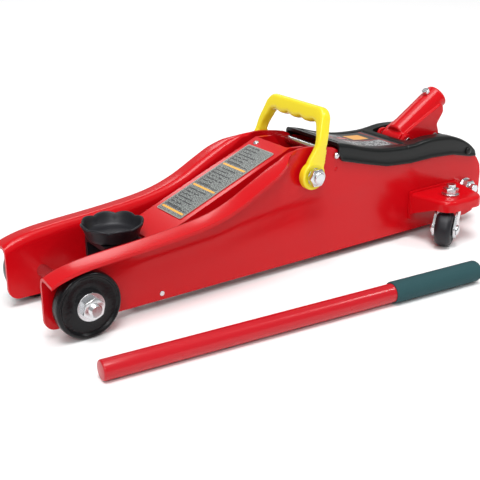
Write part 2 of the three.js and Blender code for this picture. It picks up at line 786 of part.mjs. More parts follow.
// The cast block behind the tank, with two ears that carry the socket's pin.
function pumpBlock() {
  const { front, rear, halfWidth, bottom, top } = PUMP_BLOCK;
  const block = plateAlongY(
    roundedShape([
      [front, bottom, 4],
      [rear, bottom, 8],
      [rear, top, 10],
      [front, top + 18, 4],
    ]),
    -halfWidth,
    halfWidth,
  );
  const lowerTop = box(front + 38, rear + 1, -halfWidth - 1, halfWidth + 1, top, top + 30);
  const earShape = () =>
    roundedShape([
      [SOCKET_PIVOT.x - 9, 60, 0],
      [SOCKET_PIVOT.x + 14, 60, 0],
      [SOCKET_PIVOT.x + 7, SOCKET_PIVOT.z + 7, 6],
      [SOCKET_PIVOT.x - 7, SOCKET_PIVOT.z + 7, 6],
    ]);
  const ears = [-20.5, 17.2].map((y0) => plateAlongY(earShape(), y0, y0 + 3.3));
  const barrel = rodZ(SOCKET_PIVOT.x + ROLLER.reach, 0, PLUNGER_RADIUS + 5, top - 2, top + 10);
  const whole = join(cut(block, lowerTop), ...ears, barrel);
  return cut(
    whole,
    rodZ(SOCKET_PIVOT.x + ROLLER.reach, 0, PLUNGER_RADIUS + RUNNING_FIT, 26, 90),
    rodZ(VALVE.x, 0, VALVE.radius + RUNNING_FIT, 50, 100, 16),
    rodY(UNIT_STUD.x, UNIT_STUD.z, UNIT_STUD.radius + RUNNING_FIT, -40, 40),
    rodY(SOCKET_PIVOT.x, SOCKET_PIVOT.z, 4 + RUNNING_FIT, -30, 30),
    box(SOCKET_PIVOT.x - 13, SOCKET_PIVOT.x + 16, -17.2, 17.2, 82, 100),
  );
}
add("pump_block", pumpBlock(), RED_PAINT);

add(
  "unit_stud",
  rodY(UNIT_STUD.x, UNIT_STUD.z, UNIT_STUD.radius, -UNIT_STUD.end, UNIT_STUD.end, 20),
  ZINC,
);
for (const [name, side] of Object.entries(SIDES)) {
  const nut = cut(
    join(rodY(0, 0, 9.5, 0, 1.8, 24), hexY(0, 0, UNIT_STUD.flats, 0, 10)),
    rodY(0, 0, UNIT_STUD.radius + RUNNING_FIT, -1, 12, 20),
  );
  const mesh = add(`stud_nut_${name}`, nut, ZINC);
  mesh.position.set(UNIT_STUD.x, side * (PLATE_OUTSIDE + GAP), UNIT_STUD.z);
  mesh.rotation.z = side === LEFT ? Math.PI : 0;
}

function releaseValve() {
  return join(
    rodZ(VALVE.x, 0, VALVE.radius, 51, 90, 16),
    rodZ(VALVE.x, 0, 6.5, 80, 84, 6),
    rodY(VALVE.x, 88, 1.6, -8, 8, 10),
  );
}
add("release_valve", releaseValve(), ZINC);

for (const [name, side] of Object.entries(SIDES)) {
  const spring = rodX(side * 32.3, LUG_PIN.z, 3.4, LUG_PIN.x + 6, PUMP_BLOCK.front - 1, 14);
  add(`return_spring_${name}`, spring, SPRING_STEEL);
}

// ---------------------------------------------------------------- pump plunger and handle socket
const PLUNGER_TOP = SOCKET_PIVOT.z - ROLLER.drop - ROLLER.radius - 0.35;
add(
  "pump_plunger",
  join(
    rodZ(SOCKET_PIVOT.x + ROLLER.reach, 0, PLUNGER_RADIUS, 38, PLUNGER_TOP),
    rodZ(SOCKET_PIVOT.x + ROLLER.reach, 0, PLUNGER_RADIUS + 3, PLUNGER_TOP - 2.5, PLUNGER_TOP),
  ),
  STEEL,
);
add(
  "pump_spring",
  tube(PLUNGER_RADIUS + 2.6, PLUNGER_RADIUS + 0.6, PLUNGER_TOP - 3 - PUMP_BLOCK.top - 10.6, 24)
    .rotateX(Math.PI / 2)
    .translate(SOCKET_PIVOT.x + ROLLER.reach, 0, PUMP_BLOCK.top + 10.3),
  SPRING_STEEL,
);
add("socket_pin", rodY(SOCKET_PIVOT.x, SOCKET_PIVOT.z, 4, -22, 22, 20), ZINC);

// The socket in its own frame: the origin is on the pivot and the tube runs along +X.
function handleSocket() {
  const rollerAt = new THREE.Vector2(ROLLER.reach, -ROLLER.drop);
  rollerAt.rotateAround(new THREE.Vector2(), -SOCKET_TILT);
  const body = rodX(0, 0, SOCKET_OUTSIDE, 3, SOCKET_LENGTH, 24);
  const barrel = rodY(0, 0, 7.5, -13.6, 13.6);
  const cheekShape = () =>
    roundedShape([
      [-6.5, 2, 5],
      [-4.5, -6.5, 5],
      [rollerAt.x - 4, rollerAt.y - 7, 6],
      [rollerAt.x + 7, rollerAt.y - 2, 6],
      [rollerAt.x + 9, rollerAt.y + 9, 3],
      [SOCKET_LENGTH - 12, -10, 5],
      [SOCKET_LENGTH - 8, 0, 4],
      [6, 6, 4],
    ]);
  const cheeks = [-16.6, 13.4].map((y0) => plateAlongY(cheekShape(), y0, y0 + 3.2));
  const solid = join(body, barrel, ...cheeks);
  return cut(
    solid,
    rodX(0, 0, SOCKET_BORE, 22, SOCKET_LENGTH + 1, 20),
    rodY(0, 0, 4 + RUNNING_FIT, -20, 20, 20),
    rodY(rollerAt.x, rollerAt.y, 3 + RUNNING_FIT, -20, 20, 20),
    rodZ(SOCKET_LENGTH - 12, 0, 3 + RUNNING_FIT, 5, 20, 16),
  );
}
const socketFrame = new THREE.Group();
socketFrame.position.set(SOCKET_PIVOT.x, 0, SOCKET_PIVOT.z);
socketFrame.rotation.y = -SOCKET_TILT;
jack.add(socketFrame);
add("handle_socket", handleSocket(), RED_PAINT, socketFrame);
const lockScrew = join(
  rodZ(SOCKET_LENGTH - 12, 0, 3, SOCKET_BORE + GAP, 16, 16),
  rodZ(SOCKET_LENGTH - 12, 0, 4.6, SOCKET_OUTSIDE + GAP, SOCKET_OUTSIDE + 4, 6),
);
add("socket_lock_screw", lockScrew, ZINC, socketFrame);
const rollerFrame = new THREE.Group();
rollerFrame.position.set(SOCKET_PIVOT.x + ROLLER.reach, 0, SOCKET_PIVOT.z - ROLLER.drop);
jack.add(rollerFrame);
const roller = tube(ROLLER.radius, 3 + RUNNING_FIT, 2 * ROLLER.halfWidth);
add("pump_roller", roller.translate(0, -ROLLER.halfWidth, 0), STEEL, rollerFrame);
add("roller_pin", rodY(0, 0, 3, -18, 18, 16), ZINC, rollerFrame);

// ---------------------------------------------------------------- carry handle
// Drawn upright in (y, z) with its eyes on the pivot, then leant back.
function carryHandle() {
  const top = CARRY_HEIGHT;
  const bottomOfGrip = top - 15;
  const wave = [];
  const lobes = 3;
  const span = 30;
  for (let i = 0; i <= 18; i++) {
    const y = -span + (2 * span * i) / 18;
    const dip = 2.6 * Math.abs(Math.sin((Math.PI * lobes * (y + span)) / (2 * span)));
    wave.push([y, bottomOfGrip - dip]);
  }
  const outline = [
    [-52.2, 0],
    [-52, 34],
    [-48.5, top - 17],
    [-46.6, top - 9],
    [-42.5, top - 3],
    [-36, top],
    [36, top],
    [42.5, top - 3],
    [46.6, top - 9],
    [48.5, top - 17],
    [52, 34],
    [52.2, 0],
    [44.6, 0],
    [44.6, 33],
    [39.5, bottomOfGrip - 7],
    [36.5, bottomOfGrip - 2],
    ...wave.reverse(),
    [-36.5, bottomOfGrip - 2],
    [-39.5, bottomOfGrip - 7],
    [-44.6, 33],
    [-44.6, 0],
  ];
  const arch = plateAlongX(asShape(outline), -6, 6);
  const eyes = [LEFT, RIGHT].map((side) => {
    const ys = [side * CARRY_EYE.inside, side * CARRY_EYE.outside].sort((a, b) => a - b);
    const eye = rodY(0, 0, CARRY_EYE.radius, ...ys, 32);
    const neck = plateAlongY(
      asShape([[-11.5, 8], [11.5, 8], [6.5, 28], [-6.5, 28]]),
      side === LEFT ? -51.4 : 45.4,
      side === LEFT ? -45.4 : 51.4,
    );
    return join(eye, neck);
  });
  return cut(join(arch, ...eyes), rodY(0, 0, AXLE_RADIUS + RUNNING_FIT, -60, 60));
}
const carry = add("carry_handle", carryHandle(), YELLOW_PLASTIC);
carry.position.set(ARM_PIVOT.x, 0, ARM_PIVOT.z);
carry.rotation.y = CARRY_LEAN;

// ---------------------------------------------------------------- rear cover
function coverTop(lift) {
  const top = [];
  for (let i = 0; i <= COVER_STATIONS; i++) {
    const { x, y } = COVER_LINE.getPoint(i / COVER_STATIONS);
    top.push([x, y + lift]);
  }
  return top;
}

const SKIRT_LINE = [
  [297, 106.5],
  [330, 97.5],
  [360, 90],
  [395, 87.3],
  [428, 88],
  [460, 86],
  [488, 79.5],
  [COVER.rear, 78.5],
];

function rearCover() {
  const { crown, wall, halfWidth, front, rear } = COVER;
  const skirted = plateAlongY(
    asShape([...coverTop(crown), ...SKIRT_LINE.toReversed()]),
    -halfWidth,
    halfWidth,
  );
  const hollow = plateAlongY(
    asShape([
      ...coverTop(crown - wall),
      [rear + 5, 82.5 + crown - wall],
      [rear + 5, 60],
      [front - 5, 60],
      [front - 5, 121.5 + crown - wall],
    ]),
    -halfWidth + wall,
    halfWidth - wall,
  );
  const rearWall = box(rear - wall, rear, -PLATE_INSIDE + 0.6, PLATE_INSIDE - 0.6, 72, 82.5 + crown - 0.5);
  const opening = box(
    COVER_OPENING.front,
    COVER_OPENING.rear,
    -COVER_OPENING.halfWidth,
    COVER_OPENING.halfWidth,
    60,
    140,
  );
  return join(cut(skirted, hollow, opening), rearWall);
}
add("rear_cover", rearCover(), BLACK_PLASTIC);

// A thin plate that follows the cover's hollow between its front lip and the seam.
function coverLabel() {
  const points = [];
  for (let i = 0; i <= 40; i++) {
    const { x, y } = COVER_LINE.getPoint(i / 40);
    if (x > 304 && x < 390) points.push([x, y + COVER.crown + GAP]);
  }
  const above = points.toReversed().map(([x, z]) => [x, z + 0.5]);
  return plateAlongY(asShape([...points, ...above]), -31, 31);
}
add("cover_label", coverLabel(), LABEL_DARK);

for (const [name, side] of Object.entries(SIDES)) {
  const head = new THREE.SphereGeometry(4.2, 10, 6).scale(1, 0.5, 1);
  const rivet = add(`cover_rivet_${name}`, head, BLACK_PLASTIC);
  rivet.position.set(485, side * (COVER.halfWidth + 2.1 + GAP), 86.5);
}

// ---------------------------------------------------------------- rear brackets and casters
function rearBracket() {
  const outline = (inset) =>
    roundedShape([
      [399 + inset, -PLATE_OUTSIDE - GAP, 0],
      [408 + inset, -92 + inset, 16 - inset],
      [462 - inset, -92 + inset, 14 - inset],
      [476 - inset, -PLATE_OUTSIDE - GAP, 0],
    ]);
  const pressed = plateAlongZ(outline(0), 24, SHELF_TOP);
  const inside = plateAlongZ(outline(SHELF_THICKNESS), 20, SHELF_TOP - SHELF_THICKNESS);
  // the rim's lower edge climbs away from the plate, then runs level
  const underRim = plateAlongX(
    asShape([[-40, 10], [-40, 27], [-74, 40], [-100, 40], [-100, 10]]),
    380,
    500,
  );
  const tab = plateAlongY(
    roundedShape([
      [398, 54, 3],
      [398, 23, 2],
      [403, 20, 2],
      [410, 28, 3],
      [470, 31, 3],
      [475, 54, 3],
    ]),
    -PLATE_OUTSIDE - GAP - PLATE_THICKNESS,
    -PLATE_OUTSIDE - GAP,
  );
  const kingpinHole = rodZ(KINGPIN.x, -KINGPIN.y, KINGPIN.radius + RUNNING_FIT, 30, 60);
  return cut(join(cut(pressed, inside, underRim), tab), kingpinHole);
}

// The caster in its own frame: the origin is on the floor under the kingpin; the wheel trails along -X.
function casterFork() {
  const underShelf = SHELF_TOP - SHELF_THICKNESS - GAP;
  const crown = join(
    rodZ(0, 0, 14, underShelf - 4, underShelf, 20),
    box(-10.5, 8, -CASTER_WIDTH / 2 - 3.6, CASTER_WIDTH / 2 + 3.6, underShelf - 4, underShelf - 1),
  );
  const legs = [-CASTER_WIDTH / 2 - 3.6, CASTER_WIDTH / 2 + 1].map((y0) =>
    plateAlongY(
      roundedShape([
        [-10.5, underShelf - 1, 0],
        [-12, underShelf - 9, 0],
        [-CASTER_TRAIL - 9, CASTER_RADIUS + 3, 6],
        [-CASTER_TRAIL - 6, CASTER_RADIUS - 9, 6],
        [-CASTER_TRAIL + 7, CASTER_RADIUS - 9, 6],
        [8, underShelf - 8, 3],
        [8, underShelf - 1, 0],
      ]),
      y0,
      y0 + 2.6,
      [circleShape(-CASTER_TRAIL, CASTER_RADIUS, CASTER_AXLE_RADIUS + RUNNING_FIT)],
    ),
  );
  const kingpin = rodZ(0, 0, KINGPIN.radius, underShelf - 2, SHELF_TOP + 12, 20);
  return join(crown, ...legs, kingpin);
}

function casterWheel() {
  const half = CASTER_WIDTH / 2;
  return turnedWheel(
    [
      [CASTER_AXLE_RADIUS + RUNNING_FIT, -half],
      [CASTER_RADIUS - 4, -half],
      [CASTER_RADIUS - 1.2, -half + 2],
      [CASTER_RADIUS, -half + 6],
      [CASTER_RADIUS, half - 6],
      [CASTER_RADIUS - 1.2, half - 2],
      [CASTER_RADIUS - 4, half],
      [CASTER_AXLE_RADIUS + RUNNING_FIT, half],
    ],
    28,
  );
}

function kingpinNut() {
  const hexagon = rodZ(0, 0, KINGPIN.flats / Math.sqrt(3), SHELF_TOP + GAP, SHELF_TOP + 9, 6);
  return cut(hexagon, rodZ(0, 0, KINGPIN.radius + RUNNING_FIT, 30, 80, 20));
}

for (const [name, side] of Object.entries(SIDES)) {
  add(`rear_bracket_${name}`, onSide(side, rearBracket()), RED_PAINT);
  const caster = new THREE.Group();
  caster.position.set(KINGPIN.x, side * KINGPIN.y, 0);
  caster.rotation.z = -side * CASTER_YAW;
  jack.add(caster);
  add(`caster_fork_${name}`, casterFork(), ZINC, caster);
  add(`kingpin_nut_${name}`, kingpinNut(), ZINC, caster);
  const hub = new THREE.Group();
  hub.position.set(-CASTER_TRAIL, 0, CASTER_RADIUS);
  caster.add(hub);
  add(`caster_wheel_${name}`, casterWheel(), BLACK_PAINT, hub);
  const axleEnd = CASTER_WIDTH / 2 + 5.4;
  add(`caster_axle_${name}`, rodY(0, 0, CASTER_AXLE_RADIUS, -axleEnd, axleEnd), ZINC, hub);
}

// ---------------------------------------------------------------- loose pump bar
// It lies on the floor along the left side, on its grip and on the lip of its closed front end.
const bar = new THREE.Group();
bar.position.set(BAR_FRONT_END.x, BAR_FRONT_END.y, BAR.radius);
const BAR_RISE = Math.atan2(BAR.gripRadius - BAR.radius, BAR.length - BAR.gripLength);
bar.rotation.set(0, -BAR_RISE, BAR_TURN, "ZYX");
jack.add(bar);

// The bar's lifting end is closed; its other end is open inside the grip.
const barTube = turned(
  [
    [0, 0],
    [BAR.radius - 1, 0],
    [BAR.radius, 1],
    [BAR.radius, BAR.length - 4],
    [BAR.radius - BAR.wall, BAR.length - 4],
    [BAR.radius - BAR.wall, 3],
    [0, 3],
  ],
  20,
);
add("pump_bar", alongX(barTube, 0, 0), RED_PAINT, bar);
const gripInside = BAR.radius + GAP;
const grip = turned(
  [
    [gripInside, 0],
    [BAR.gripRadius - 0.4, 0],
    [BAR.gripRadius, 1.5],
    [BAR.gripRadius, BAR.gripLength - 5],
    [BAR.gripRadius - 2.5, BAR.gripLength],
    [0, BAR.gripLength],
    [0, BAR.gripLength - 3],
    [gripInside, BAR.gripLength - 3],
  ],
  20,
);
add("bar_grip", alongX(grip, BAR.length - BAR.gripLength, 0), RUBBER_GRIP, bar);

// ---------------------------------------------------------------- the whole model
const trolleyJack = new THREE.Group();
jack.position.set(-BOX_MIDDLE.x, -BOX_MIDDLE.y, 0);
trolleyJack.add(jack);

export default trolleyJack;
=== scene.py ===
"""The looks of a low trolley jack and its loose pump bar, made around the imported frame.

Shapes are worked out in millimetres from the point of the floor under the middle of the front
axle: X runs back to the handle end, the left side is -Y and Z is up. A finished piece is in metres
in the frame's own place, with its place in its mesh.
"""

from __future__ import annotations

import json
import logging
import math
from dataclasses import dataclass
from enum import Enum
from typing import Callable, Sequence

import bmesh
import bpy
from mathutils import Matrix, Vector

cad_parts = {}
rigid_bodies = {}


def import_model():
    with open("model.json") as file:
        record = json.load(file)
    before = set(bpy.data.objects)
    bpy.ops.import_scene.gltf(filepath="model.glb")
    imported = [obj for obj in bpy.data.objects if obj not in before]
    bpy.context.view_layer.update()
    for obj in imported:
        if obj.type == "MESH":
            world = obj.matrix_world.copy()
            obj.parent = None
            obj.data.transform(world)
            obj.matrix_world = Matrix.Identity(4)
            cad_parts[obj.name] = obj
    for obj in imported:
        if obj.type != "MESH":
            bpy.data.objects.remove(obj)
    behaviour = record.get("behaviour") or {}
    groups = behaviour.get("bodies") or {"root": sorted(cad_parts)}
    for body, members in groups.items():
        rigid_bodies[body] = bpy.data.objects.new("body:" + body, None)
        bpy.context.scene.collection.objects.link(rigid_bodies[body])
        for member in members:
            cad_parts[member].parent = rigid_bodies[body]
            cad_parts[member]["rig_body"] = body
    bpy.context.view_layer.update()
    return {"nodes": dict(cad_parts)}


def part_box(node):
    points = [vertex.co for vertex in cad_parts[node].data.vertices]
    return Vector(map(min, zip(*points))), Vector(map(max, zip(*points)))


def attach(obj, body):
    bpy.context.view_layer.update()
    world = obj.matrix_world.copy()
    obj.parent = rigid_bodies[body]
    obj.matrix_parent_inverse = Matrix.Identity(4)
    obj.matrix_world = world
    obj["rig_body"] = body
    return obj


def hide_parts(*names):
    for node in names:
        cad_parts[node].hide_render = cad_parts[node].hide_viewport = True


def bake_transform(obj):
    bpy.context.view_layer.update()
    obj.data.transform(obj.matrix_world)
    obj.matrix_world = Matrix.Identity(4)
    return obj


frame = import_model()

LOG = logging.getLogger("trolley_jack")
MM = 0.001
Pair = tuple[float, float]
Triple = tuple[float, float, float]
Ring = list[Vector]

# (distance behind the front axle, height) of what runs across the jack
SHAFT: Pair = (254.0, 100.0)
STUD: Pair = (486.5, 44.5)
TIE_ROD: Pair = (290.5, 113.0)
STOP_ROD: Pair = (83.0, 14.5)


class Side(Enum):
    """The two sides of the jack."""

    LEFT = -1
    RIGHT = 1

    @property
    def word(self) -> str:
        """The side's name, as the nodes end in it."""
        return self.name.lower()


# ------------------------------------------------------------------------------- places


def axle_point() -> Vector:
    """The point of the floor under the middle of the front axle, in metres."""
    low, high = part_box("front_axle")
    middle = (low + high) / 2
    return Vector((middle.x, middle.y, 0.0))


AXLE = axle_point()
TO_METRES = Matrix.Translation(AXLE) @ Matrix.Scale(MM, 4)


def centre(node: str) -> Vector:
    """The middle of a node's box, in millimetres from the axle point."""
    low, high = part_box(node)
    return ((low + high) / 2 - AXLE) / MM


def outward(side: Side, x: float, y: float, z: float) -> Matrix:
    """A place whose own Z points out of one side of the jack.

    Args:
        side: The side that it points out of.
        x: Distance behind the axle.
        y: Distance from the middle plane, without sign.
        z: Height.

    Returns:
        The matrix from the place's own millimetres to the jack's.
    """
    turn = Matrix.Rotation(-side.value * math.pi / 2, 4, "X")
    return Matrix.Translation((x, side.value * y, z)) @ turn


def rearward(x: float, y: float, z: float) -> Matrix:
    """A place whose own Z points to the handle end."""
    return Matrix.Translation((x, y, z)) @ Matrix.Rotation(math.pi / 2, 4, "Y")


# ------------------------------------------------------------------------------- curves


def spline(points: Sequence[Pair], steps: int) -> list[Pair]:
    """A smooth line through points.

    Args:
        points: The points that it passes through.
        steps: The number of steps along the whole line.

    Returns:
        steps + 1 points, evenly spread over the spans.
    """
    line = []
    last = len(points) - 1
    for i in range(steps + 1):
        place = last * i / steps
        k = min(int(place), last - 1)
        t = place - k
        p0, p1 = points[max(k - 1, 0)], points[k]
        p2, p3 = points[k + 1], points[min(k + 2, last)]
        point = []
        for a, b, c, d in zip(p0, p1, p2, p3):
            square, cube = 2 * a - 5 * b + 4 * c - d, 3 * b - a - 3 * c + d
            point.append(0.5 * (2 * b + (c - a) * t + square * t**2 + cube * t**3))
        line.append(tuple(point))
    return line


def arc(x: float, y: float, radius: float, start: float, end: float, steps: int) -> list[Pair]:
    """Points of a circular arc, with its angles in degrees."""
    angles = [math.radians(start + (end - start) * k / steps) for k in range(steps + 1)]
    return [(x + radius * math.cos(a), y + radius * math.sin(a)) for a in angles]


def resampled(line: Sequence[Pair], count: int) -> list[Pair]:
    """The same line with count points, evenly spaced along it."""
    lengths = [0.0]
    for a, b in zip(line, line[1:]):
        lengths.append(lengths[-1] + math.dist(a, b))
    result = []
    k = 0
    for i in range(count):
        target = lengths[-1] * i / (count - 1)
        while k < len(line) - 2 and lengths[k + 1] < target:
            k += 1
        share = (target - lengths[k]) / max(lengths[k + 1] - lengths[k], 1e-9)
        result.append(tuple(p + (q - p) * share for p, q in zip(line[k], line[k + 1])))
    return result


def height_on(line: Sequence[Pair], x: float) -> float:
    """The height of a line that runs backwards, at one distance."""
    for (xa, za), (xb, zb) in zip(line, line[1:]):
        if xa <= x <= xb:
            return za + (zb - za) * (x - xa) / max(xb - xa, 1e-9)
    return line[0][1] if x < line[0][0] else line[-1][1]


def smoothstep(value: float, low: float, high: float) -> float:
    """0 below low and 1 above high, with a smooth rise between them."""
    t = min(1.0, max(0.0, (value - low) / (high - low)))
    return t * t * (3 - 2 * t)


def rounded(corners: Sequence[Triple], steps: int = 8) -> list[Pair]:
    """A closed outline whose corners are tangent arcs.

    Args:
        corners: Each corner's two coordinates and its radius.
        steps: The number of steps on each arc.

    Returns:
        The outline's points, in the corners' order.
    """
    outline: list[Pair] = []
    count = len(corners)
    for i, (x, y, radius) in enumerate(corners):
        corner = Vector((x, y))
        if radius == 0:
            outline.append((x, y))
            continue
        before = (Vector(corners[i - 1][:2]) - corner).normalized()
        after = (Vector(corners[(i + 1) % count][:2]) - corner).normalized()
        half = before.angle(after) / 2
        middle = corner + (before + after).normalized() * radius / math.sin(half)
        start = corner + before * radius / math.tan(half) - middle
        sweep = start.angle_signed(corner + after * radius / math.tan(half) - middle)
        for k in range(steps + 1):
            turned = Matrix.Rotation(-sweep * k / steps, 2) @ start
            outline.append(tuple(middle + turned))
    return outline


def both_ends(half: Sequence[Pair]) -> list[Pair]:
    """The profile of a whole rod, from its upper half, which starts on the middle plane."""
    return [(radius, -height) for radius, height in reversed(half)] + list(half[1:])


# ------------------------------------------------------------------------------- meshes


class Form:
    """A mesh that is being made, in millimetres from the axle point."""

    def __init__(self) -> None:
        """Starts with nothing."""
        self.bm = bmesh.new()

    @classmethod
    def of_node(cls, node: str, flat_angle: float = 2.0) -> "Form":
        """A merged copy of a CAD node, with its flat faces whole."""
        form = cls()
        form.bm.from_mesh(frame["nodes"][node].data)
        form.bm.transform(TO_METRES.inverted())
        bmesh.ops.remove_doubles(form.bm, verts=form.bm.verts, dist=0.005)
        bmesh.ops.dissolve_limit(
            form.bm, angle_limit=math.radians(flat_angle), verts=form.bm.verts, edges=form.bm.edges
        )
        return form

    def loft(self, rings: Sequence[Ring], caps: bool = True, open_ring: bool = False) -> "Form":
        """Joins rings of points with faces.

        Args:
            rings: Rings with the same number of points, in order.
            caps: Whether the first and last rings are filled.
            open_ring: Whether each ring stays open between its last and first points.

        Returns:
            This form.
        """
        rows = [[self.bm.verts.new(p) for p in ring] for ring in rings]
        size = len(rows[0])
        for a, b in zip(rows, rows[1:]):
            for k in range(size - 1 if open_ring else size):
                n = (k + 1) % size
                self.bm.faces.new((a[k], a[n], b[n], b[k]))
        if caps:
            self.bm.faces.new(rows[0])
            self.bm.faces.new(rows[-1])
        return self

    def lathe(self, profile: Sequence[Pair], place: Matrix, segments: int = 64) -> "Form":
        """Turns a profile of (radius, height) about the place's own Z.

        Args:
            profile: The points; the form is closed if they start and end on the axis or meet.
            place: Where it stands.
            segments: The number of steps round it.

        Returns:
            This form.
        """
        rings = []
        for i in range(segments):
            angle = 2 * math.pi * i / segments
            c, s = math.cos(angle), math.sin(angle)
            rings.append([place @ Vector((r * c, r * s, h)) for r, h in profile])
        return self.loft(rings + [rings[0]], caps=False, open_ring=True)

    def prism(self, outline: Sequence[Pair], low: float, high: float, place: Matrix) -> "Form":
        """An outline in the place's own XY, filled from one height to another."""
        rings = [[place @ Vector((x, y, h)) for x, y in outline] for h in (low, high)]
        return self.loft(rings)

    def moved(self, change: Callable[[Vector], Vector]) -> "Form":
        """Moves every point to where a function of it says."""
        for vert in self.bm.verts:
            vert.co = change(vert.co)
        return self

    def mapped(self, start: float = 0.0) -> "Form":
        """Keeps each point's place along and across, in tenths of a metre, as its UV map."""
        layer = self.bm.loops.layers.uv.new("UVMap")
        for face in self.bm.faces:
            for loop in face.loops:
                loop[layer].uv = ((loop.vert.co.x - start) / 100, loop.vert.co.y / 100)
        return self

    def bevelled(
        self, wanted: Callable[[bmesh.types.BMEdge], bool], width: float, steps: int
    ) -> "Form":
        """Rounds the edges that a test picks."""
        edges = [e for e in self.bm.edges if wanted(e)]
        bmesh.ops.bevel(
            self.bm, geom=edges, offset=width, offset_type="OFFSET", segments=steps, profile=0.5,
            affect="EDGES", clamp_overlap=True,
        )
        return self

    def mesh(self, name: str) -> bpy.types.Mesh:
        """The finished mesh in metres, closed up and facing out."""
        bmesh.ops.remove_doubles(self.bm, verts=self.bm.verts, dist=0.004)
        bmesh.ops.dissolve_degenerate(self.bm, edges=self.bm.edges, dist=0.002)
        bmesh.ops.recalc_face_normals(self.bm, faces=self.bm.faces)
        self.bm.transform(TO_METRES)
        mesh = bpy.data.meshes.new(name)
        self.bm.to_mesh(mesh)
        self.bm.free()
        return mesh


def linked(name: str, mesh: bpy.types.Mesh) -> bpy.types.Object:
    """A new object of the scene with that mesh."""
    obj = bpy.data.objects.new(name, mesh)
    bpy.context.scene.collection.objects.link(obj)
    return obj


def evaluated(obj: bpy.types.Object) -> bpy.types.Object:
    """Turns an object's modifiers into plain mesh."""
    bpy.context.view_layer.update()
    graph = bpy.context.evaluated_depsgraph_get()
    mesh = bpy.data.meshes.new_from_object(obj.evaluated_get(graph))
    obj.modifiers.clear()
    obj.data = mesh
    return obj


def smooth(mesh: bpy.types.Mesh, angle: float) -> None:
    """Shades a mesh smooth, but for its edges sharper than an angle in degrees."""
    mesh.polygons.foreach_set("use_smooth", [True] * len(mesh.polygons))
    mesh.set_sharp_from_angle(angle=math.radians(angle))


def bevel(obj: bpy.types.Object, width: float, steps: int = 3, angle: float = 38.0) -> None:
    """Rounds an object's sharp edges by a width in millimetres."""
    tool = obj.modifiers.new("rounded edges", "BEVEL")
    tool.width = width * MM
    tool.segments = steps
    tool.limit_method = "ANGLE"
    tool.angle_limit = math.radians(angle)
    tool.harden_normals = True


def joined(obj: bpy.types.Object, other: Form, operation: str) -> None:
    """Unites a form with an object, or takes it out of the object."""
    helper = linked("helper", other.mesh("helper"))
    tool = obj.modifiers.new("boolean", "BOOLEAN")
    tool.operation = operation
    tool.solver = "EXACT"
    tool.object = helper
    evaluated(obj)
    bpy.data.objects.remove(helper)


def moulded(obj: bpy.types.Object, voxel: float, rounds: int) -> bpy.types.Object:
    """Turns an object's overlapping solids into one softened skin.

    Args:
        obj: The object.
        voxel: The fineness of the skin, in millimetres.
        rounds: How many times it is smoothed.

    Returns:
        The object.
    """
    skin = obj.modifiers.new("skin", "REMESH")
    skin.mode = "VOXEL"
    skin.voxel_size = voxel * MM
    evaluated(obj)
    soft = obj.modifiers.new("soft", "SMOOTH")
    soft.factor = 0.5
    soft.iterations = rounds
    return evaluated(obj)


def frame_body(node: str) -> str:
    """The name of the body that a CAD node moves with."""
    return frame["nodes"][node]["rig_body"]


# ------------------------------------------------------------------------------- shader maths


class Term:
    """A shader socket that can stand in sums and products."""

    def __init__(self, graph: "Graph", socket: bpy.types.NodeSocket) -> None:
        """Wraps one socket of a graph."""
        self.graph = graph
        self.socket = socket

    def _maths(self, operation: str, first: object, second: object) -> "Term":
        """The result of one Math node."""
        return self.graph.node("ShaderNodeMath", {"operation": operation}, {0: first, 1: second})

    def __add__(self, other: object) -> "Term":
        """The sum."""
        return self._maths("ADD", self, other)

    def __sub__(self, other: object) -> "Term":
        """The difference."""
        return self._maths("SUBTRACT", self, other)

    def __rsub__(self, other: object) -> "Term":
        """The difference, from a number."""
        return self._maths("SUBTRACT", other, self)

    def __mul__(self, other: object) -> "Term":
        """The product."""
        return self._maths("MULTIPLY", self, other)

    def __truediv__(self, other: object) -> "Term":
        """The quotient."""
        return self._maths("DIVIDE", self, other)

    def __gt__(self, other: object) -> "Term":
        """1 where this is greater."""
        return self._maths("GREATER_THAN", self, other)

    def __lt__(self, other: object) -> "Term":
        """1 where this is less."""
        return self._maths("LESS_THAN", self, other)

    __radd__ = __add__
    __rmul__ = __mul__

    def floor(self) -> "Term":
        """The whole number below."""
        return self._maths("FLOOR", self, 0.0)

    def fraction(self) -> "Term":
        """What is left above the whole number below."""
        return self._maths("FRACT", self, 0.0)

    def between(self, low: float, high: float) -> "Term":
        """1 from low up to high."""
        return (self > low) * (self < high)


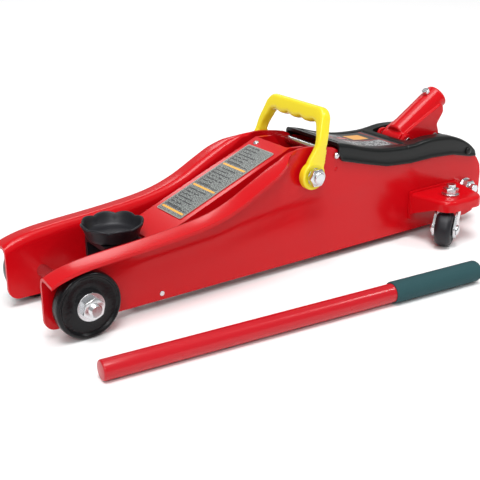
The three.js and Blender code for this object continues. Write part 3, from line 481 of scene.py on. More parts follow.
class Graph:
    """The nodes of one material."""

    def __init__(self, name: str) -> None:
        """Starts a material with its shader and output.

        Args:
            name: The material's name.
        """
        self.material = bpy.data.materials.new(name)
        self.material.use_nodes = True
        self.tree = self.material.node_tree
        self.tree.nodes.clear()
        self.shader = self.tree.nodes.new("ShaderNodeBsdfPrincipled")
        output = self.tree.nodes.new("ShaderNodeOutputMaterial")
        self.tree.links.new(self.shader.outputs["BSDF"], output.inputs["Surface"])

    def _fill(self, socket: bpy.types.NodeSocket, value: object) -> None:
        """Sets or links one input."""
        if isinstance(value, Term):
            self.tree.links.new(value.socket, socket)
        elif isinstance(value, tuple) and len(value) == 3 and socket.type == "RGBA":
            socket.default_value = (*value, 1.0)
        else:
            socket.default_value = value

    def node(
        self, kind: str, settings: dict[str, object] | None = None,
        inputs: dict[int | str, object] | None = None, output: int | str = 0,
    ) -> Term:
        """Adds a node.

        Args:
            kind: The node's type.
            settings: Its properties, set first.
            inputs: Its sockets' values or links, by number or name.
            output: The output that is wanted.

        Returns:
            That output as a term.
        """
        node = self.tree.nodes.new(kind)
        for key, value in (settings or {}).items():
            setattr(node, key, value)
        for key, value in (inputs or {}).items():
            self._fill(node.inputs[key], value)
        return Term(self, node.outputs[output])

    def ramp(self, factor: Term, stops: Sequence[tuple[float, Triple]]) -> Term:
        """A colour ramp over a factor."""
        term = self.node("ShaderNodeValToRGB", {}, {"Fac": factor}, "Color")
        elements = term.socket.node.color_ramp.elements
        for index, (place, colour) in enumerate(stops):
            element = elements[index] if index < 2 else elements.new(place)
            element.position = place
            element.color = (*colour, 1.0)
        return term

    def mix(self, factor: object, first: object, second: object) -> Term:
        """One colour turning into another."""
        return self.node(
            "ShaderNodeMix", {"data_type": "RGBA"}, {0: factor, 6: first, 7: second}, 2
        )

    def place(self) -> Term:
        """Object coordinates, in metres."""
        return self.node("ShaderNodeTexCoord", output="Object")

    def noise(self, scale: float, detail: float = 2.0, vector: Term | None = None) -> Term:
        """Noise from 0 to 1, with its scale in features a metre."""
        inputs = {"Vector": vector or self.place(), "Scale": scale, "Detail": detail}
        return self.node("ShaderNodeTexNoise", {}, inputs, "Fac")

    def print_map(self) -> tuple[Term, Term, Term]:
        """The UV map of a label, and its distances along and across in millimetres."""
        uv = self.node("ShaderNodeUVMap", {"uv_map": "UVMap"})
        along = self.node("ShaderNodeSeparateXYZ", {}, {0: uv})
        across = Term(self, along.socket.node.outputs[1])
        return uv, along * 100, across * 100

    def shade(self, **inputs: object) -> None:
        """Sets the shader's inputs, with spaces written as underscores."""
        for key, value in inputs.items():
            self._fill(self.shader.inputs[key.replace("_", " ")], value)

    def bump(self, height: Term, distance: float, strength: float = 1.0) -> None:
        """Bumps the surface by a height, whose full size is a distance in millimetres."""
        inputs = {"Height": height, "Distance": distance * MM, "Strength": strength}
        self.shade(Normal=self.node("ShaderNodeBump", {}, inputs, "Normal"))


# ------------------------------------------------------------------------------- finishes


@dataclass(frozen=True)
class Finish:
    """A finish with a colour, a gloss and a fine relief that varies over the surface."""

    name: str
    slot: str
    colour: Triple
    shade: Triple
    roughness: tuple[float, float]
    patch: float = 40.0
    grain: float = 900.0
    relief: float = 0.02
    metallic: float = 0.0
    coat: float = 0.0
    specular: float = 0.5

    def material(self) -> bpy.types.Material:
        """The material, made once."""
        known = bpy.data.materials.get(self.name)
        if known:
            return known
        graph = Graph(self.name)
        patches = graph.noise(self.patch, 4.0)
        fine = graph.noise(self.grain, 3.0)
        low, high = self.roughness
        spread = high - low
        graph.shade(
            Base_Color=graph.mix(patches, self.colour, self.shade),
            Roughness=patches * spread * 0.6 + fine * spread * 0.4 + low,
            Metallic=self.metallic,
            Coat_Weight=self.coat,
            Coat_Roughness=0.06,
            Specular_IOR_Level=self.specular,
        )
        graph.bump(fine, self.relief)
        return graph.material


RED = Finish(
    "red_enamel", "red_paint", (0.60, 0.003, 0.007), (0.54, 0.002, 0.006), (0.15, 0.24),
    patch=9.0, grain=260.0, relief=0.012, coat=0.05, specular=0.22,
)
BAR_RED = Finish(
    "bar_enamel", "red_paint", (0.52, 0.006, 0.014), (0.46, 0.005, 0.012), (0.24, 0.34),
    patch=12.0, grain=300.0, relief=0.012, coat=0.1, specular=0.35,
)
BLACK = Finish(
    "black_enamel", "black_enamel", (0.002, 0.002, 0.0025), (0.003, 0.003, 0.004), (0.05, 0.10),
    patch=60.0, grain=300.0, relief=0.03, specular=0.2,
)
CAST_BLACK = Finish(
    "cast_black", "black_enamel", (0.003, 0.003, 0.004), (0.006, 0.006, 0.007), (0.16, 0.30),
    patch=90.0, grain=380.0, relief=0.3, specular=0.24,
)
BLACK_PLASTIC = Finish(
    "cover_plastic", "black_plastic", (0.004, 0.005, 0.005), (0.007, 0.008, 0.008), (0.26, 0.36),
    patch=30.0, grain=1600.0, relief=0.02, specular=0.26,
)
YELLOW = Finish(
    "yellow_plastic", "yellow_plastic", (0.84, 0.70, 0.016), (0.80, 0.64, 0.012), (0.34, 0.44),
    patch=25.0, grain=1400.0, relief=0.02, specular=0.35,
)
ZINC = Finish(
    "bright_zinc", "zinc", (0.74, 0.75, 0.76), (0.60, 0.61, 0.63), (0.16, 0.34),
    patch=140.0, grain=900.0, relief=0.03, metallic=1.0,
)
STEEL = Finish(
    "turned_steel", "steel", (0.48, 0.48, 0.49), (0.38, 0.38, 0.39), (0.24, 0.38),
    patch=120.0, grain=1200.0, relief=0.03, metallic=1.0,
)
SPRING_WIRE = Finish(
    "spring_wire", "spring_steel", (0.30, 0.30, 0.31), (0.22, 0.22, 0.23), (0.30, 0.42),
    patch=200.0, grain=1500.0, relief=0.02, metallic=1.0,
)
GRIP_RUBBER = Finish(
    "grip_rubber", "grip_rubber", (0.0006, 0.017, 0.026), (0.0005, 0.012, 0.020), (0.40, 0.54),
    patch=30.0, grain=1100.0, relief=0.05, specular=0.1,
)
BLACK_RUBBER = Finish(
    "black_rubber", "black_rubber", (0.012, 0.012, 0.012), (0.018, 0.018, 0.018), (0.55, 0.72),
    patch=60.0, grain=900.0, relief=0.08,
)


def dressed(
    name: str, mesh: bpy.types.Mesh | bpy.types.Object, finish: Finish, body: str, *nodes: str,
    edge: float = 0.0, steps: int = 3, angle: float = 38.0,
) -> bpy.types.Object:
    """Finishes a piece and sets it on its body.

    Args:
        name: The piece's name.
        mesh: Its mesh, or an object that already has one.
        finish: What it is covered with.
        body: The body that it moves with, or nothing for a piece that is left on no body.
        *nodes: The CAD nodes that it stands for.
        edge: The rounding of its sharp edges, in millimetres.
        steps: The steps of that rounding.
        angle: The sharpness, in degrees, from which an edge is rounded or stays crisp.

    Returns:
        The piece.
    """
    obj = mesh if isinstance(mesh, bpy.types.Object) else linked(name, mesh)
    obj.name = f"jack_{name}"
    smooth(obj.data, angle)
    if edge:
        bevel(obj, edge, steps, angle)
    obj.data.materials.clear()
    obj.data.materials.append(finish.material())
    if body:
        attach(obj, body)
    if nodes:
        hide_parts(*nodes)
    LOG.info("%s on %s: %d faces", name, body or "two bodies", len(obj.data.polygons))
    return obj


def labelled(name: str, form: Form, material: bpy.types.Material, body: str) -> None:
    """Finishes a label sheet, in place of the node with its name.

    Args:
        name: The piece's name and the node's.
        form: Its shape, with its UV map.
        material: Its print.
        body: The body that it moves with.
    """
    label = linked(f"jack_{name}", form.mesh(name))
    smooth(label.data, 30.0)
    label.data.materials.append(material)
    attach(label, body)
    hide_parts(name)
    LOG.info("%s on %s: %d faces", name, body, len(label.data.polygons))


# ------------------------------------------------------------------------------- repeated pieces


class Recipe:
    """A Geometry Nodes tree with named inputs, whose result is turned into plain mesh."""

    def __init__(self, name: str, inputs: dict[str, float]) -> None:
        """Starts a tree.

        Args:
            name: The tree's name.
            inputs: Its inputs and what they are by default; whole numbers stay whole.
        """
        self.tree = bpy.data.node_groups.new(name, "GeometryNodeTree")
        face = self.tree.interface
        self.ids = {}
        for key, value in inputs.items():
            kind = "NodeSocketInt" if isinstance(value, int) else "NodeSocketFloat"
            socket = face.new_socket(key, in_out="INPUT", socket_type=kind)
            socket.default_value = value
            self.ids[key] = socket.identifier
        stuff = face.new_socket("Material", in_out="INPUT", socket_type="NodeSocketMaterial")
        self.ids["Material"] = stuff.identifier
        face.new_socket("Geometry", in_out="OUTPUT", socket_type="NodeSocketGeometry")
        self.input = self.tree.nodes.new("NodeGroupInput")
        self.output = self.tree.nodes.new("NodeGroupOutput")

    def node(
        self, kind: str, settings: dict[str, object], links: dict[int | str, object]
    ) -> bpy.types.Node:
        """Adds a node, with its properties and its inputs' values or links."""
        node = self.tree.nodes.new(kind)
        for key, value in settings.items():
            setattr(node, key, value)
        for key, value in links.items():
            if isinstance(value, bpy.types.NodeSocket):
                self.tree.links.new(value, node.inputs[key])
            else:
                node.inputs[key].default_value = value
        return node

    def given(self, key: str) -> bpy.types.NodeSocket:
        """The socket of a named input."""
        return self.input.outputs[key]

    def maths(self, operation: str, first: object, second: object) -> bpy.types.NodeSocket:
        """The result of one Math node."""
        settings = {"operation": operation}
        return self.node("ShaderNodeMath", settings, {0: first, 1: second}).outputs[0]

    def vector(self, x: object = 0.0, y: object = 0.0, z: object = 0.0) -> bpy.types.NodeSocket:
        """A vector from its parts."""
        return self.node("ShaderNodeCombineXYZ", {}, {0: x, 1: y, 2: z}).outputs[0]

    def raised(self, geometry: bpy.types.NodeSocket, lift: object) -> bpy.types.NodeSocket:
        """A geometry moved up its own Z."""
        links = {"Geometry": geometry, "Translation": self.vector(z=lift)}
        return self.node("GeometryNodeTransform", {}, links).outputs[0]

    def finish(self, geometry: bpy.types.NodeSocket) -> "Recipe":
        """Ends the tree: instances made real, and the material set."""
        real = self.node("GeometryNodeRealizeInstances", {}, {0: geometry})
        links = {"Geometry": real.outputs[0], "Material": self.given("Material")}
        stuff = self.node("GeometryNodeSetMaterial", {}, links)
        self.tree.links.new(stuff.outputs[0], self.output.inputs[0])
        return self

    def made(self, place: Matrix, finish: Finish, **values: float) -> Form:
        """The tree's result, at a place.

        Args:
            place: Where it stands, in millimetres.
            finish: What it is covered with.
            **values: The inputs, by name with underscores for spaces, in millimetres.

        Returns:
            A form of the plain mesh.
        """
        obj = linked("recipe", bpy.data.meshes.new("recipe"))
        tool = obj.modifiers.new("recipe", "NODES")
        tool.node_group = self.tree
        tool[self.ids["Material"]] = finish.material()
        for key, value in values.items():
            tool[self.ids[key.replace("_", " ")]] = value
        evaluated(obj)
        form = Form()
        form.bm.from_mesh(obj.data)
        form.bm.transform(place)
        bpy.data.objects.remove(obj)
        return form


def merged(*forms: Form) -> Form:
    """Several forms as one."""
    whole = Form()
    for form in forms:
        scratch = bpy.data.meshes.new("scratch")
        form.bm.to_mesh(scratch)
        form.bm.free()
        whole.bm.from_mesh(scratch)
        bpy.data.meshes.remove(scratch)
    return whole


def coil_recipe() -> Recipe:
    """A coil spring about its own Z, from its foot up."""
    recipe = Recipe("coil", {"Turns": 10.0, "Radius": 3.0, "Length": 60.0, "Wire": 0.6})
    steps_a_turn = 20.0
    turns, radius = recipe.given("Turns"), recipe.given("Radius")
    count = recipe.maths("MULTIPLY", turns, steps_a_turn)
    steps = recipe.node("FunctionNodeFloatToInt", {}, {0: count})
    line = recipe.node(
        "GeometryNodeCurvePrimitiveLine", {"mode": "POINTS"},
        {"Start": (0.0, 0.0, 0.0), "End": recipe.vector(z=recipe.given("Length"))},
    )
    points = recipe.node(
        "GeometryNodeResampleCurve", {}, {"Curve": line.outputs[0], "Count": steps.outputs[0]}
    )
    along = recipe.node("GeometryNodeSplineParameter", {}, {}).outputs["Factor"]
    angle = recipe.maths("MULTIPLY", recipe.maths("MULTIPLY", along, turns), 2 * math.pi)
    x, y = (
        recipe.maths("MULTIPLY", recipe.maths(wave, angle, 0.0), radius)
        for wave in ("COSINE", "SINE")
    )
    moved = recipe.node(
        "GeometryNodeSetPosition", {},
        {"Geometry": points.outputs[0], "Offset": recipe.vector(x, y)},
    )
    section = recipe.node(
        "GeometryNodeCurvePrimitiveCircle", {"mode": "RADIUS"},
        {"Resolution": 8, "Radius": recipe.given("Wire")},
    )
    wire = recipe.node(
        "GeometryNodeCurveToMesh", {},
        {"Curve": moved.outputs[0], "Profile Curve": section.outputs[0], "Fill Caps": True},
    )
    return recipe.finish(wire.outputs[0])


def nut_recipe() -> Recipe:
    """A hexagon nut on its washer about its own Z, with the hexagon's outer end chamfered."""
    recipe = Recipe(
        "hex_nut", {"Flats": 19.0, "Height": 8.0, "Washer": 13.0, "Washer Height": 1.8}
    )
    chamfer, slope = 0.47, 1.6
    flats, height = recipe.given("Flats"), recipe.given("Height")
    washer_height = recipe.given("Washer Height")
    hexagon = recipe.node(
        "GeometryNodeMeshCylinder", {"fill_type": "NGON"},
        {"Vertices": 6, "Radius": recipe.maths("DIVIDE", flats, math.sqrt(3.0)), "Depth": height},
    )
    # a cone whose slope just takes the six corners off the top
    lip = recipe.maths("MULTIPLY", flats, chamfer)
    foot = recipe.maths("ADD", lip, recipe.maths("MULTIPLY", height, slope))
    taper = recipe.node(
        "GeometryNodeMeshCone", {"fill_type": "NGON"},
        {"Vertices": 48, "Radius Top": lip, "Radius Bottom": foot, "Depth": height},
    )
    body = recipe.node("GeometryNodeMeshBoolean", {"operation": "INTERSECT", "solver": "EXACT"}, {})
    half = recipe.maths("MULTIPLY", height, 0.5)
    for shape, lift in ((hexagon, half), (taper, 0.0)):
        recipe.tree.links.new(recipe.raised(shape.outputs[0], lift), body.inputs["Mesh 2"])
    washer = recipe.node(
        "GeometryNodeMeshCylinder", {"fill_type": "NGON"},
        {"Vertices": 64, "Radius": recipe.given("Washer"), "Depth": washer_height},
    )
    seat = recipe.raised(washer.outputs[0], recipe.maths("MULTIPLY", washer_height, 0.5))
    both = recipe.node("GeometryNodeJoinGeometry", {}, {})
    for shape in (body.outputs[0], seat):
        recipe.tree.links.new(shape, both.inputs[0])
    return recipe.finish(both.outputs[0])


def rib_recipe() -> Recipe:
    """A row of small round-ended ribs along its own Z."""
    recipe = Recipe("ribs", {"Count": 7, "Pitch": 3.0, "Radius": 0.8, "Length": 7.0})
    line = recipe.node(
        "GeometryNodeMeshLine", {"mode": "OFFSET"},
        {"Count": recipe.given("Count"), "Offset": recipe.vector(z=recipe.given("Pitch"))},
    )
    rib = recipe.node(
        "GeometryNodeMeshCylinder", {"fill_type": "NGON"},
        {"Vertices": 16, "Radius": recipe.given("Radius"), "Depth": recipe.given("Length")},
    )
    across = (math.pi / 2, 0.0, 0.0)
    spread = recipe.node(
        "GeometryNodeInstanceOnPoints", {},
        {"Points": line.outputs[0], "Instance": rib.outputs[0], "Rotation": across},
    )
    return recipe.finish(spread.outputs[0])


# ------------------------------------------------------------------------------- side plates

# lines of (distance behind the front axle, height)
FLANGE_LINE = spline(
    [
        (-35, 60.5), (-30, 63), (-22, 65.8), (-11, 68.4), (4, 70.6), (26, 72.6), (55, 74.6),
        (85, 77.2), (115, 80.8), (138, 85.8), (160, 94), (184, 106.3), (207, 117.6), (228, 125.4),
        (248, 127.4),
    ],
    98,
)
COVER_LINE = spline(
    [
        (292.5, 121.5), (308, 118), (330, 111.3), (359, 105.4), (395, 103.4), (426, 106),
        (455, 103.6), (474, 98), (490, 89.5), (498, 82.5),
    ],
    135,
)
RIDGE_LINE = [(-35, 30), (20, 42), (60, 52), (140, 58), (180, 66), (230, 73), (290, 73), (400, 70)]


@dataclass
class SidePlate:
    """A pressed side plate, whose top edge is bent outwards in front of the handle's shaft."""

    side: Side
    inside: float = 38.0
    thickness: float = 3.0
    bottom: float = 8.0
    front: float = -35.0
    rear: float = 512.0
    flange: float = 16.0
    bend: float = 8.0
    droop: float = 2.4
    ridge: float = 0.8
    nose_corner: float = 11.0
    rear_corner: float = 19.0
    dimple: Pair = (291.7, 98.4)
    arc_steps: int = 8
    web_steps: int = 18

    def _top_line(self) -> list[Pair]:
        """The top edge, from the nose to the rear."""
        crest = [(256, 127.3), (264, 126), (276, 124), (286, 122), (292, 118.6), (296, 114)]
        under_cover = [(x, z - 4) for x, z in COVER_LINE[::3] if 300 < x < 474]
        tail = [(480, 92), (489, 87), (497.5, 81), (504.5, 74.5), (510, 66), (self.rear, 56)]
        return FLANGE_LINE + crest + under_cover + tail

    def _low_line(self, top: Sequence[Pair]) -> list[Pair]:
        """The lower edge's points, one under each point of the top edge."""
        nose = [k for k, (x, _) in enumerate(top) if x < 30]
        tail = [k for k, (x, _) in enumerate(top) if x > 478]
        n, r = self.nose_corner, self.rear_corner
        front = [(self.front, 46), *arc(self.front + n, self.bottom + n, n, 180, 270, 10)]
        rear = [*arc(self.rear - r, self.bottom + r, r, -90, 0, 12), (self.rear, 44)]
        front.append((top[nose[-1]][0], self.bottom))
        rear.insert(0, (top[tail[0]][0], self.bottom))
        middle = [(x, self.bottom) for x, _ in top[nose[-1] + 1 : tail[0]]]
        return resampled(front, len(nose)) + middle + resampled(rear, len(tail))

    def _section(self, share: float) -> list[Pair]:
        """The bent edge as (distance out, height), with as much flange as the share says."""
        bend = max(self.bend * min(1.0, share * 1.6), self.thickness + 0.2)
        inner = bend - self.thickness
        tip = bend + self.flange * share
        steps = range(self.arc_steps + 1)
        angles = [math.pi / 2 * k / self.arc_steps for k in steps]
        over = [(bend - bend * math.cos(a), bend * math.sin(a) - bend) for a in angles]
        under = [(bend - inner * math.cos(a), inner * math.sin(a) - bend) for a in reversed(angles)]
        drop = self.droop * share
        bent = [*over, (tip, -drop), (tip, -drop - self.thickness), *under]
        plain = [(self.thickness * k / (self.arc_steps + 1), 0.0) for k in steps]
        plain += [(self.thickness, 0.0), (self.thickness, -0.2)]
        plain += [(self.thickness, -0.3 - self.bend * k / self.arc_steps) for k in steps]
        weight = smoothstep(share, 0.0, 0.05)
        return [
            (a + (c - a) * weight, b + (d - b) * weight) for (a, b), (c, d) in zip(plain, bent)
        ]

    def _bulge(self, x: float, z: float) -> float:
        """How far the long shallow ridge stands out."""
        half_width = 7
        fade = smoothstep(x, 40, 70) * (1 - smoothstep(x, 330, 380))
        return self.ridge * fade * math.exp(-(((z - height_on(RIDGE_LINE, x)) / half_width) ** 2))

    def form(self) -> Form:
        """The whole plate as one closed form."""
        top = self._top_line()
        rings = []
        for k, ((x, z), low) in enumerate(zip(top, self._low_line(top))):
            ahead, behind = top[max(k - 1, 0)], top[min(k + 1, len(top) - 1)]
            along = Vector((behind[0] - ahead[0], behind[1] - ahead[1])).normalized()
            # the section leans with the slope, but is upright at the nose and under the cover
            leaning = smoothstep(x, -35, -12) * (1 - smoothstep(x, 256, 290))
            up = Vector((0.0, 1.0)).lerp(Vector((-along.y, along.x)), leaning).normalized()
            # the flange is whole at the nose and has faded out at the handle's shaft
            share = min(smoothstep(x, -44, -34), 1 - smoothstep(x, 196, 244))
            neck = Vector((x, z)) - up * (self.bend + 2)
            web = []
            for j in range(self.web_steps + 1):
                point = Vector(low).lerp(neck, 1 - (1 - j / self.web_steps) ** 1.3)
                web.append((point.x, self.inside + self._bulge(point.x, point.y), point.y))
            edge = []
            for out, height in self._section(share):
                edge.append((x + up.x * height, self.inside + out, z + up.y * height))
            outer = [(px, py + self.thickness, pz) for px, py, pz in reversed(web)]
            whole = web + edge + outer
            rings.append([Vector((px, py * self.side.value, pz)) for px, py, pz in whole])
        return Form().loft(rings)

    def build(self) -> None:
        """Makes the plate, and the small pressed dimple's head behind the carrying handle."""
        name = f"side_plate_{self.side.word}"
        dressed(name, self.form().mesh(name), RED, "frame", name, edge=0.5, steps=2, angle=40.0)
        dot = Form().lathe(
            [(0.0, 1.1), (1.0, 1.0), (1.8, 0.6), (2.3, 0.0), (2.4, -1.5), (0.0, -1.5)],
            outward(self.side, self.dimple[0], self.inside + self.thickness, self.dimple[1]), 24,
        )
        dressed(f"plate_dimple_{self.side.word}", dot.mesh("dot"), RED, "frame")


# ------------------------------------------------------------------------------- wheels and pins


@dataclass
class FrontWheels:
    """The two cast front wheels, their axle and its flanged nuts."""

    radius: float = 31.0
    inside: float = 47.5
    axle_radius: float = 6.0
    axle_end: float = 73.0
    nut_seat: float = 60.8

    def wheel(self, side: Side) -> None:
        """Makes one wheel: a rounded tread, a rim lip, a dished disc and a flat hub."""
        r = self.radius
        profile = [
            (6.3, 0.8), (12.0, 0.6), (12.8, 1.2), (13.6, 2.8), (24.6, 3.0), (26.0, 2.2),
            (26.8, 0.6), (27.6, 0.0), (29.0, 0.1), (30.2, 0.8), (30.8, 1.8), (r, 3.2), (r, 9.6),
            (30.8, 11.0), (30.2, 12.1), (29.3, 12.8), (28.4, 13.0), (27.5, 12.7), (26.8, 11.9),
            (26.3, 11.0), (25.2, 10.5), (20.0, 10.6), (15.6, 11.0), (14.2, 11.9), (13.2, 12.8),
            (12.4, 13.0), (6.3, 13.0),
        ]
        wheel = Form().lathe(
            [*profile, profile[0]], outward(side, 0.0, self.inside, self.radius), 128
        )
        name = f"front_wheel_{side.word}"
        dressed(name, wheel.mesh(name), CAST_BLACK, f"{side.word}_front_wheel", name, angle=50.0)

    def axle(self) -> None:
        """Makes the axle, with the start of a thread at each end."""
        end, r = self.axle_end, self.axle_radius
        pitch, depth = 1.2, 0.45
        half = [(r, 0.0), (r, end - 9.0)]
        for k in range(6):
            half += [(r - depth, end - 8.4 + pitch * k), (r, end - 7.8 + pitch * k)]
        half += [(r - 0.6, end - 0.9), (r - 1.3, end), (0.0, end)]
        rod = Form().lathe(both_ends(half), outward(Side.LEFT, 0.0, 0.0, self.radius), 48)
        dressed("front_axle", rod.mesh("axle"), ZINC, "frame", "front_axle", angle=30.0)

    def nuts(self, recipe: Recipe) -> None:
        """Makes the two flanged nuts as one piece."""
        sizes = {"Flats": 19.0, "Height": 8.0, "Washer": 13.2, "Washer_Height": 1.8}
        turned = Matrix.Rotation(0.35, 4, "Z")
        forms = [
            recipe.made(outward(side, 0.0, self.nut_seat, self.radius) @ turned, ZINC, **sizes)
            for side in Side
        ]
        mesh = merged(*forms).mesh("axle_nuts")
        dressed("axle_nuts", mesh, ZINC, "frame", "axle_nut_left", "axle_nut_right", edge=0.35)

    def build(self, recipe: Recipe) -> None:
        """Makes everything on the front axle."""
        for side in Side:
            self.wheel(side)
        self.axle()
        self.nuts(recipe)


@dataclass(frozen=True)
class Pin:
    """A round zinc bar across the jack, with rounded ends."""

    name: str
    place: Pair
    radius: float
    end: float
    crown: float = 0.8

    def build(self) -> None:
        """Makes the bar, in place of the node with its name."""
        x, z = self.place
        r, c, end = self.radius, self.crown, self.end
        half = [(r, 0.0), (r, end - c), *arc(r - c, end - c, c, 15, 90, 5), (0.0, end)]
        rod = Form().lathe(both_ends(half), outward(Side.LEFT, x, 0.0, z), 48)
        dressed(self.name, rod.mesh(self.name), ZINC, "frame", self.name, angle=40.0)


def tie_rod() -> None:
    """Makes the rod under the cover's front lip, with a riveted dome at each end."""
    half = [(4.2, 0.0), (4.2, 37.7), (2.5, 37.7), (2.5, 41.3)]
    half += [(3.4, 41.4), (3.4, 42.4), (3.1, 43.4), (2.3, 44.3), (1.2, 44.8), (0.0, 45.0)]
    rod = Form().lathe(both_ends(half), outward(Side.LEFT, TIE_ROD[0], 0.0, TIE_ROD[1]), 40)
    dressed("cover_tie_rod", rod.mesh("tie_rod"), ZINC, "frame", "cover_tie_rod", angle=50.0)


def side_nuts(name: str, recipe: Recipe, place: Pair, seat: float, **sizes: float) -> None:
    """Makes a nut on each side of the jack as one piece.

    Args:
        name: What the two nodes' names start with.
        recipe: The nut's recipe.
        place: Its distance behind the axle, and its height.
        seat: The distance of its seat from the middle plane.
        **sizes: The recipe's inputs.
    """
    forms = [recipe.made(outward(side, place[0], seat, place[1]), ZINC, **sizes) for side in Side]
    mesh = merged(*forms).mesh(f"{name}s")
    dressed(f"{name}s", mesh, ZINC, "frame", *(f"{name}_{side.word}" for side in Side), edge=0.3)


# ------------------------------------------------------------------------------- saddle


@dataclass
class Saddle:
    """The lobed cup that takes the load, and the head that it turns in."""

    x: float = 56.0
    seat: float = 64.0
    lobes: int = 8
    steps: int = 192

    def _profile(self, wave: float) -> list[Pair]:
        """The cup's section, where a wave of 1 is the middle of a lobe and 0 a notch."""
        rim, top = 28.4 + 1.6 * wave, 14.0 + 2.0 * wave
        return [
            (0.0, -14.0), (7.2, -14.0), (8.0, -13.2), (8.0, 0.0), (21.6, 0.0), (23.4, 0.6),
            (24.6, 2.0), (25.5, 4.6), (26.2 + 0.5 * wave, 8.0), (rim - 0.9, top - 3.4),
            (rim - 0.1, top - 1.8), (rim, top - 0.9), (rim - 0.4, top - 0.2), (rim - 1.1, top),
            (rim - 1.9, top - 0.3), (rim - 2.6, top - 1.4), (rim - 3.6, top - 4.2), (23.6, 6.4),
            (22.2, 4.8), (20.0, 3.9), (16.0, 3.6), (8.0, 3.4), (0.0, 3.4),
        ]

    def cup(self) -> None:
        """Makes the cup."""
        rings = []
        for i in range(self.steps):
            angle = 2 * math.pi * i / self.steps
            c, s = math.cos(angle), math.sin(angle)
            wave = abs(math.cos(self.lobes / 2 * (angle + 0.2))) ** 0.8
            profile = self._profile(wave)
            rings.append([Vector((self.x + r * c, r * s, self.seat + h)) for r, h in profile])
        cup = Form().loft(rings + [rings[0]], caps=False, open_ring=True)
        dressed("saddle", cup.mesh("saddle"), BLACK, "saddle_cup", "saddle", angle=60.0)

    def build(self) -> None:
        """Makes the cup and its head."""
        self.cup()
        name, node = "saddle_head_block", "saddle_carrier"
        head = Form.of_node(node).mesh("head")
        dressed(name, head, BLACK, "saddle_head", node, edge=1.1, steps=4)


# ------------------------------------------------------------------------------- lift arm


@dataclass
class LiftArm:
    """The lift arm, with its label plate and the rivet above it."""

    front: Pair = (84.0, 61.3)
    rear: Pair = (240.5, 125.3)
    half_width: float = 28.0
    label_start: float = 35.0
    label_length: float = 120.0
    label_half: float = 21.5

    def _on_top(self, distance: float) -> Matrix:
        """A place on the arm's top whose X runs up the slope and whose Z stands off it."""
        (xa, za), (xb, zb) = self.front, self.rear
        slope = math.atan2(zb - za, xb - xa)
        turn = Matrix.Rotation(-slope, 4, "Y")
        return Matrix.Translation((xa, 0.0, za)) @ turn @ Matrix.Translation((distance, 0.0, 0.0))

    def arm(self) -> None:
        """Makes the arm, with wide bends along its top."""
        form = Form.of_node("lift_arm")
        flat = self._on_top(0.0).inverted()

        def on_bend(edge: bmesh.types.BMEdge) -> bool:
            """Whether an edge runs along the top's side."""
            near = 0.3
            a, b = (flat @ v.co for v in edge.verts)
            high = all(
                abs(p.z) < near and abs(abs(p.y) - self.half_width) < near for p in (a, b)
            )
            return high and abs(a.x - b.x) > 20

        form.bevelled(on_bend, 4.6, 8)
        dressed("lift_arm", form.mesh("arm"), RED, "arm", "lift_arm", edge=0.7, steps=3, angle=42.0)

    def label(self) -> None:
        """Makes the label plate, with millimetres of its own as its UV map."""
        end, half = self.label_length, self.label_half
        outline = rounded([(0, -half, 2), (end, -half, 2), (end, half, 2), (0, half, 2)], 5)
        place = self._on_top(self.label_start)
        form = Form().prism(outline, 0.3, 0.9, Matrix.Identity(4)).mapped()
        form.moved(lambda p: place @ p)
        labelled("arm_label", form, self._label_material(), "arm")

    def _label_material(self) -> bpy.types.Material:
        """A grey speckled print in three fields, each with an orange bar and short dark strokes."""
        graph = Graph("arm_label_print")
        pitch, row_height = 39.0, 4.6
        uv, along, across = graph.print_map()
        across = across + self.label_half
        speckle = graph.noise(90.0, 2.0, uv)
        field = (along - 3.0) / pitch
        within = field.fraction() * pitch
        row = (within - 6.0) / row_height
        stroke = row.fraction().between(0.28, 0.62) * within.between(7.0, 36.5)
        length = graph.node(
            "ShaderNodeTexWhiteNoise", {"noise_dimensions": "1D"},
            {"W": row.floor() + field.floor() * 11.0}, "Value",
        )
        broken = graph.noise(34.0, 0.0, uv) > 0.36
        strokes = stroke * (across > 23.0 - length * 15.0) * (across < 38.5) * broken
        rules = within.between(6.0, 7.0) + across.between(38.7, 39.5) * within.between(6, 37)
        dark = strokes + rules * across.between(4.0, 39.5)
        bar = within.between(1.6, 4.0) * across.between(3.0, 40.0) * along.between(2.0, 118.0)
        edge = 1 - along.between(0.9, 119.1) * across.between(0.9, 42.1)
        black, middle, pale = (0.020, 0.022, 0.024), (0.13, 0.14, 0.135), (0.34, 0.37, 0.35)
        colour = graph.ramp(speckle, [(0.42, black), (0.50, middle), (0.58, pale)])
        for mask, ink in (
            (dark, (0.015, 0.017, 0.02)),
            (bar, (0.86, 0.42, 0.05)),
            (edge, (0.34, 0.30, 0.26)),
        ):
            colour = graph.mix(mask, colour, ink)
        graph.shade(Base_Color=colour, Roughness=speckle * 0.15 + 0.36)
        graph.bump(speckle, 0.02)
        return graph.material

    def rivet(self) -> None:
        """Makes the domed rivet above the label."""
        where = self._on_top(0.0).inverted() @ centre("arm_rivet")
        place = self._on_top(where.x) @ Matrix.Translation((0.0, where.y, 0.0))
        dome = [(0.0, 1.9), (1.2, 1.75), (2.2, 1.35), (2.9, 0.8), (3.2, 0.3), (3.2, 0.1)]
        dome.append((0.0, 0.1))
        rivet = Form().lathe(dome, place, 32)
        dressed("arm_rivet", rivet.mesh("rivet"), ZINC, "arm", "arm_rivet", angle=60.0)

    def build(self) -> None:
        """Makes the arm and what is on it."""
        self.arm()
        self.label()
        self.rivet()


# ------------------------------------------------------------------------------- carrying handle


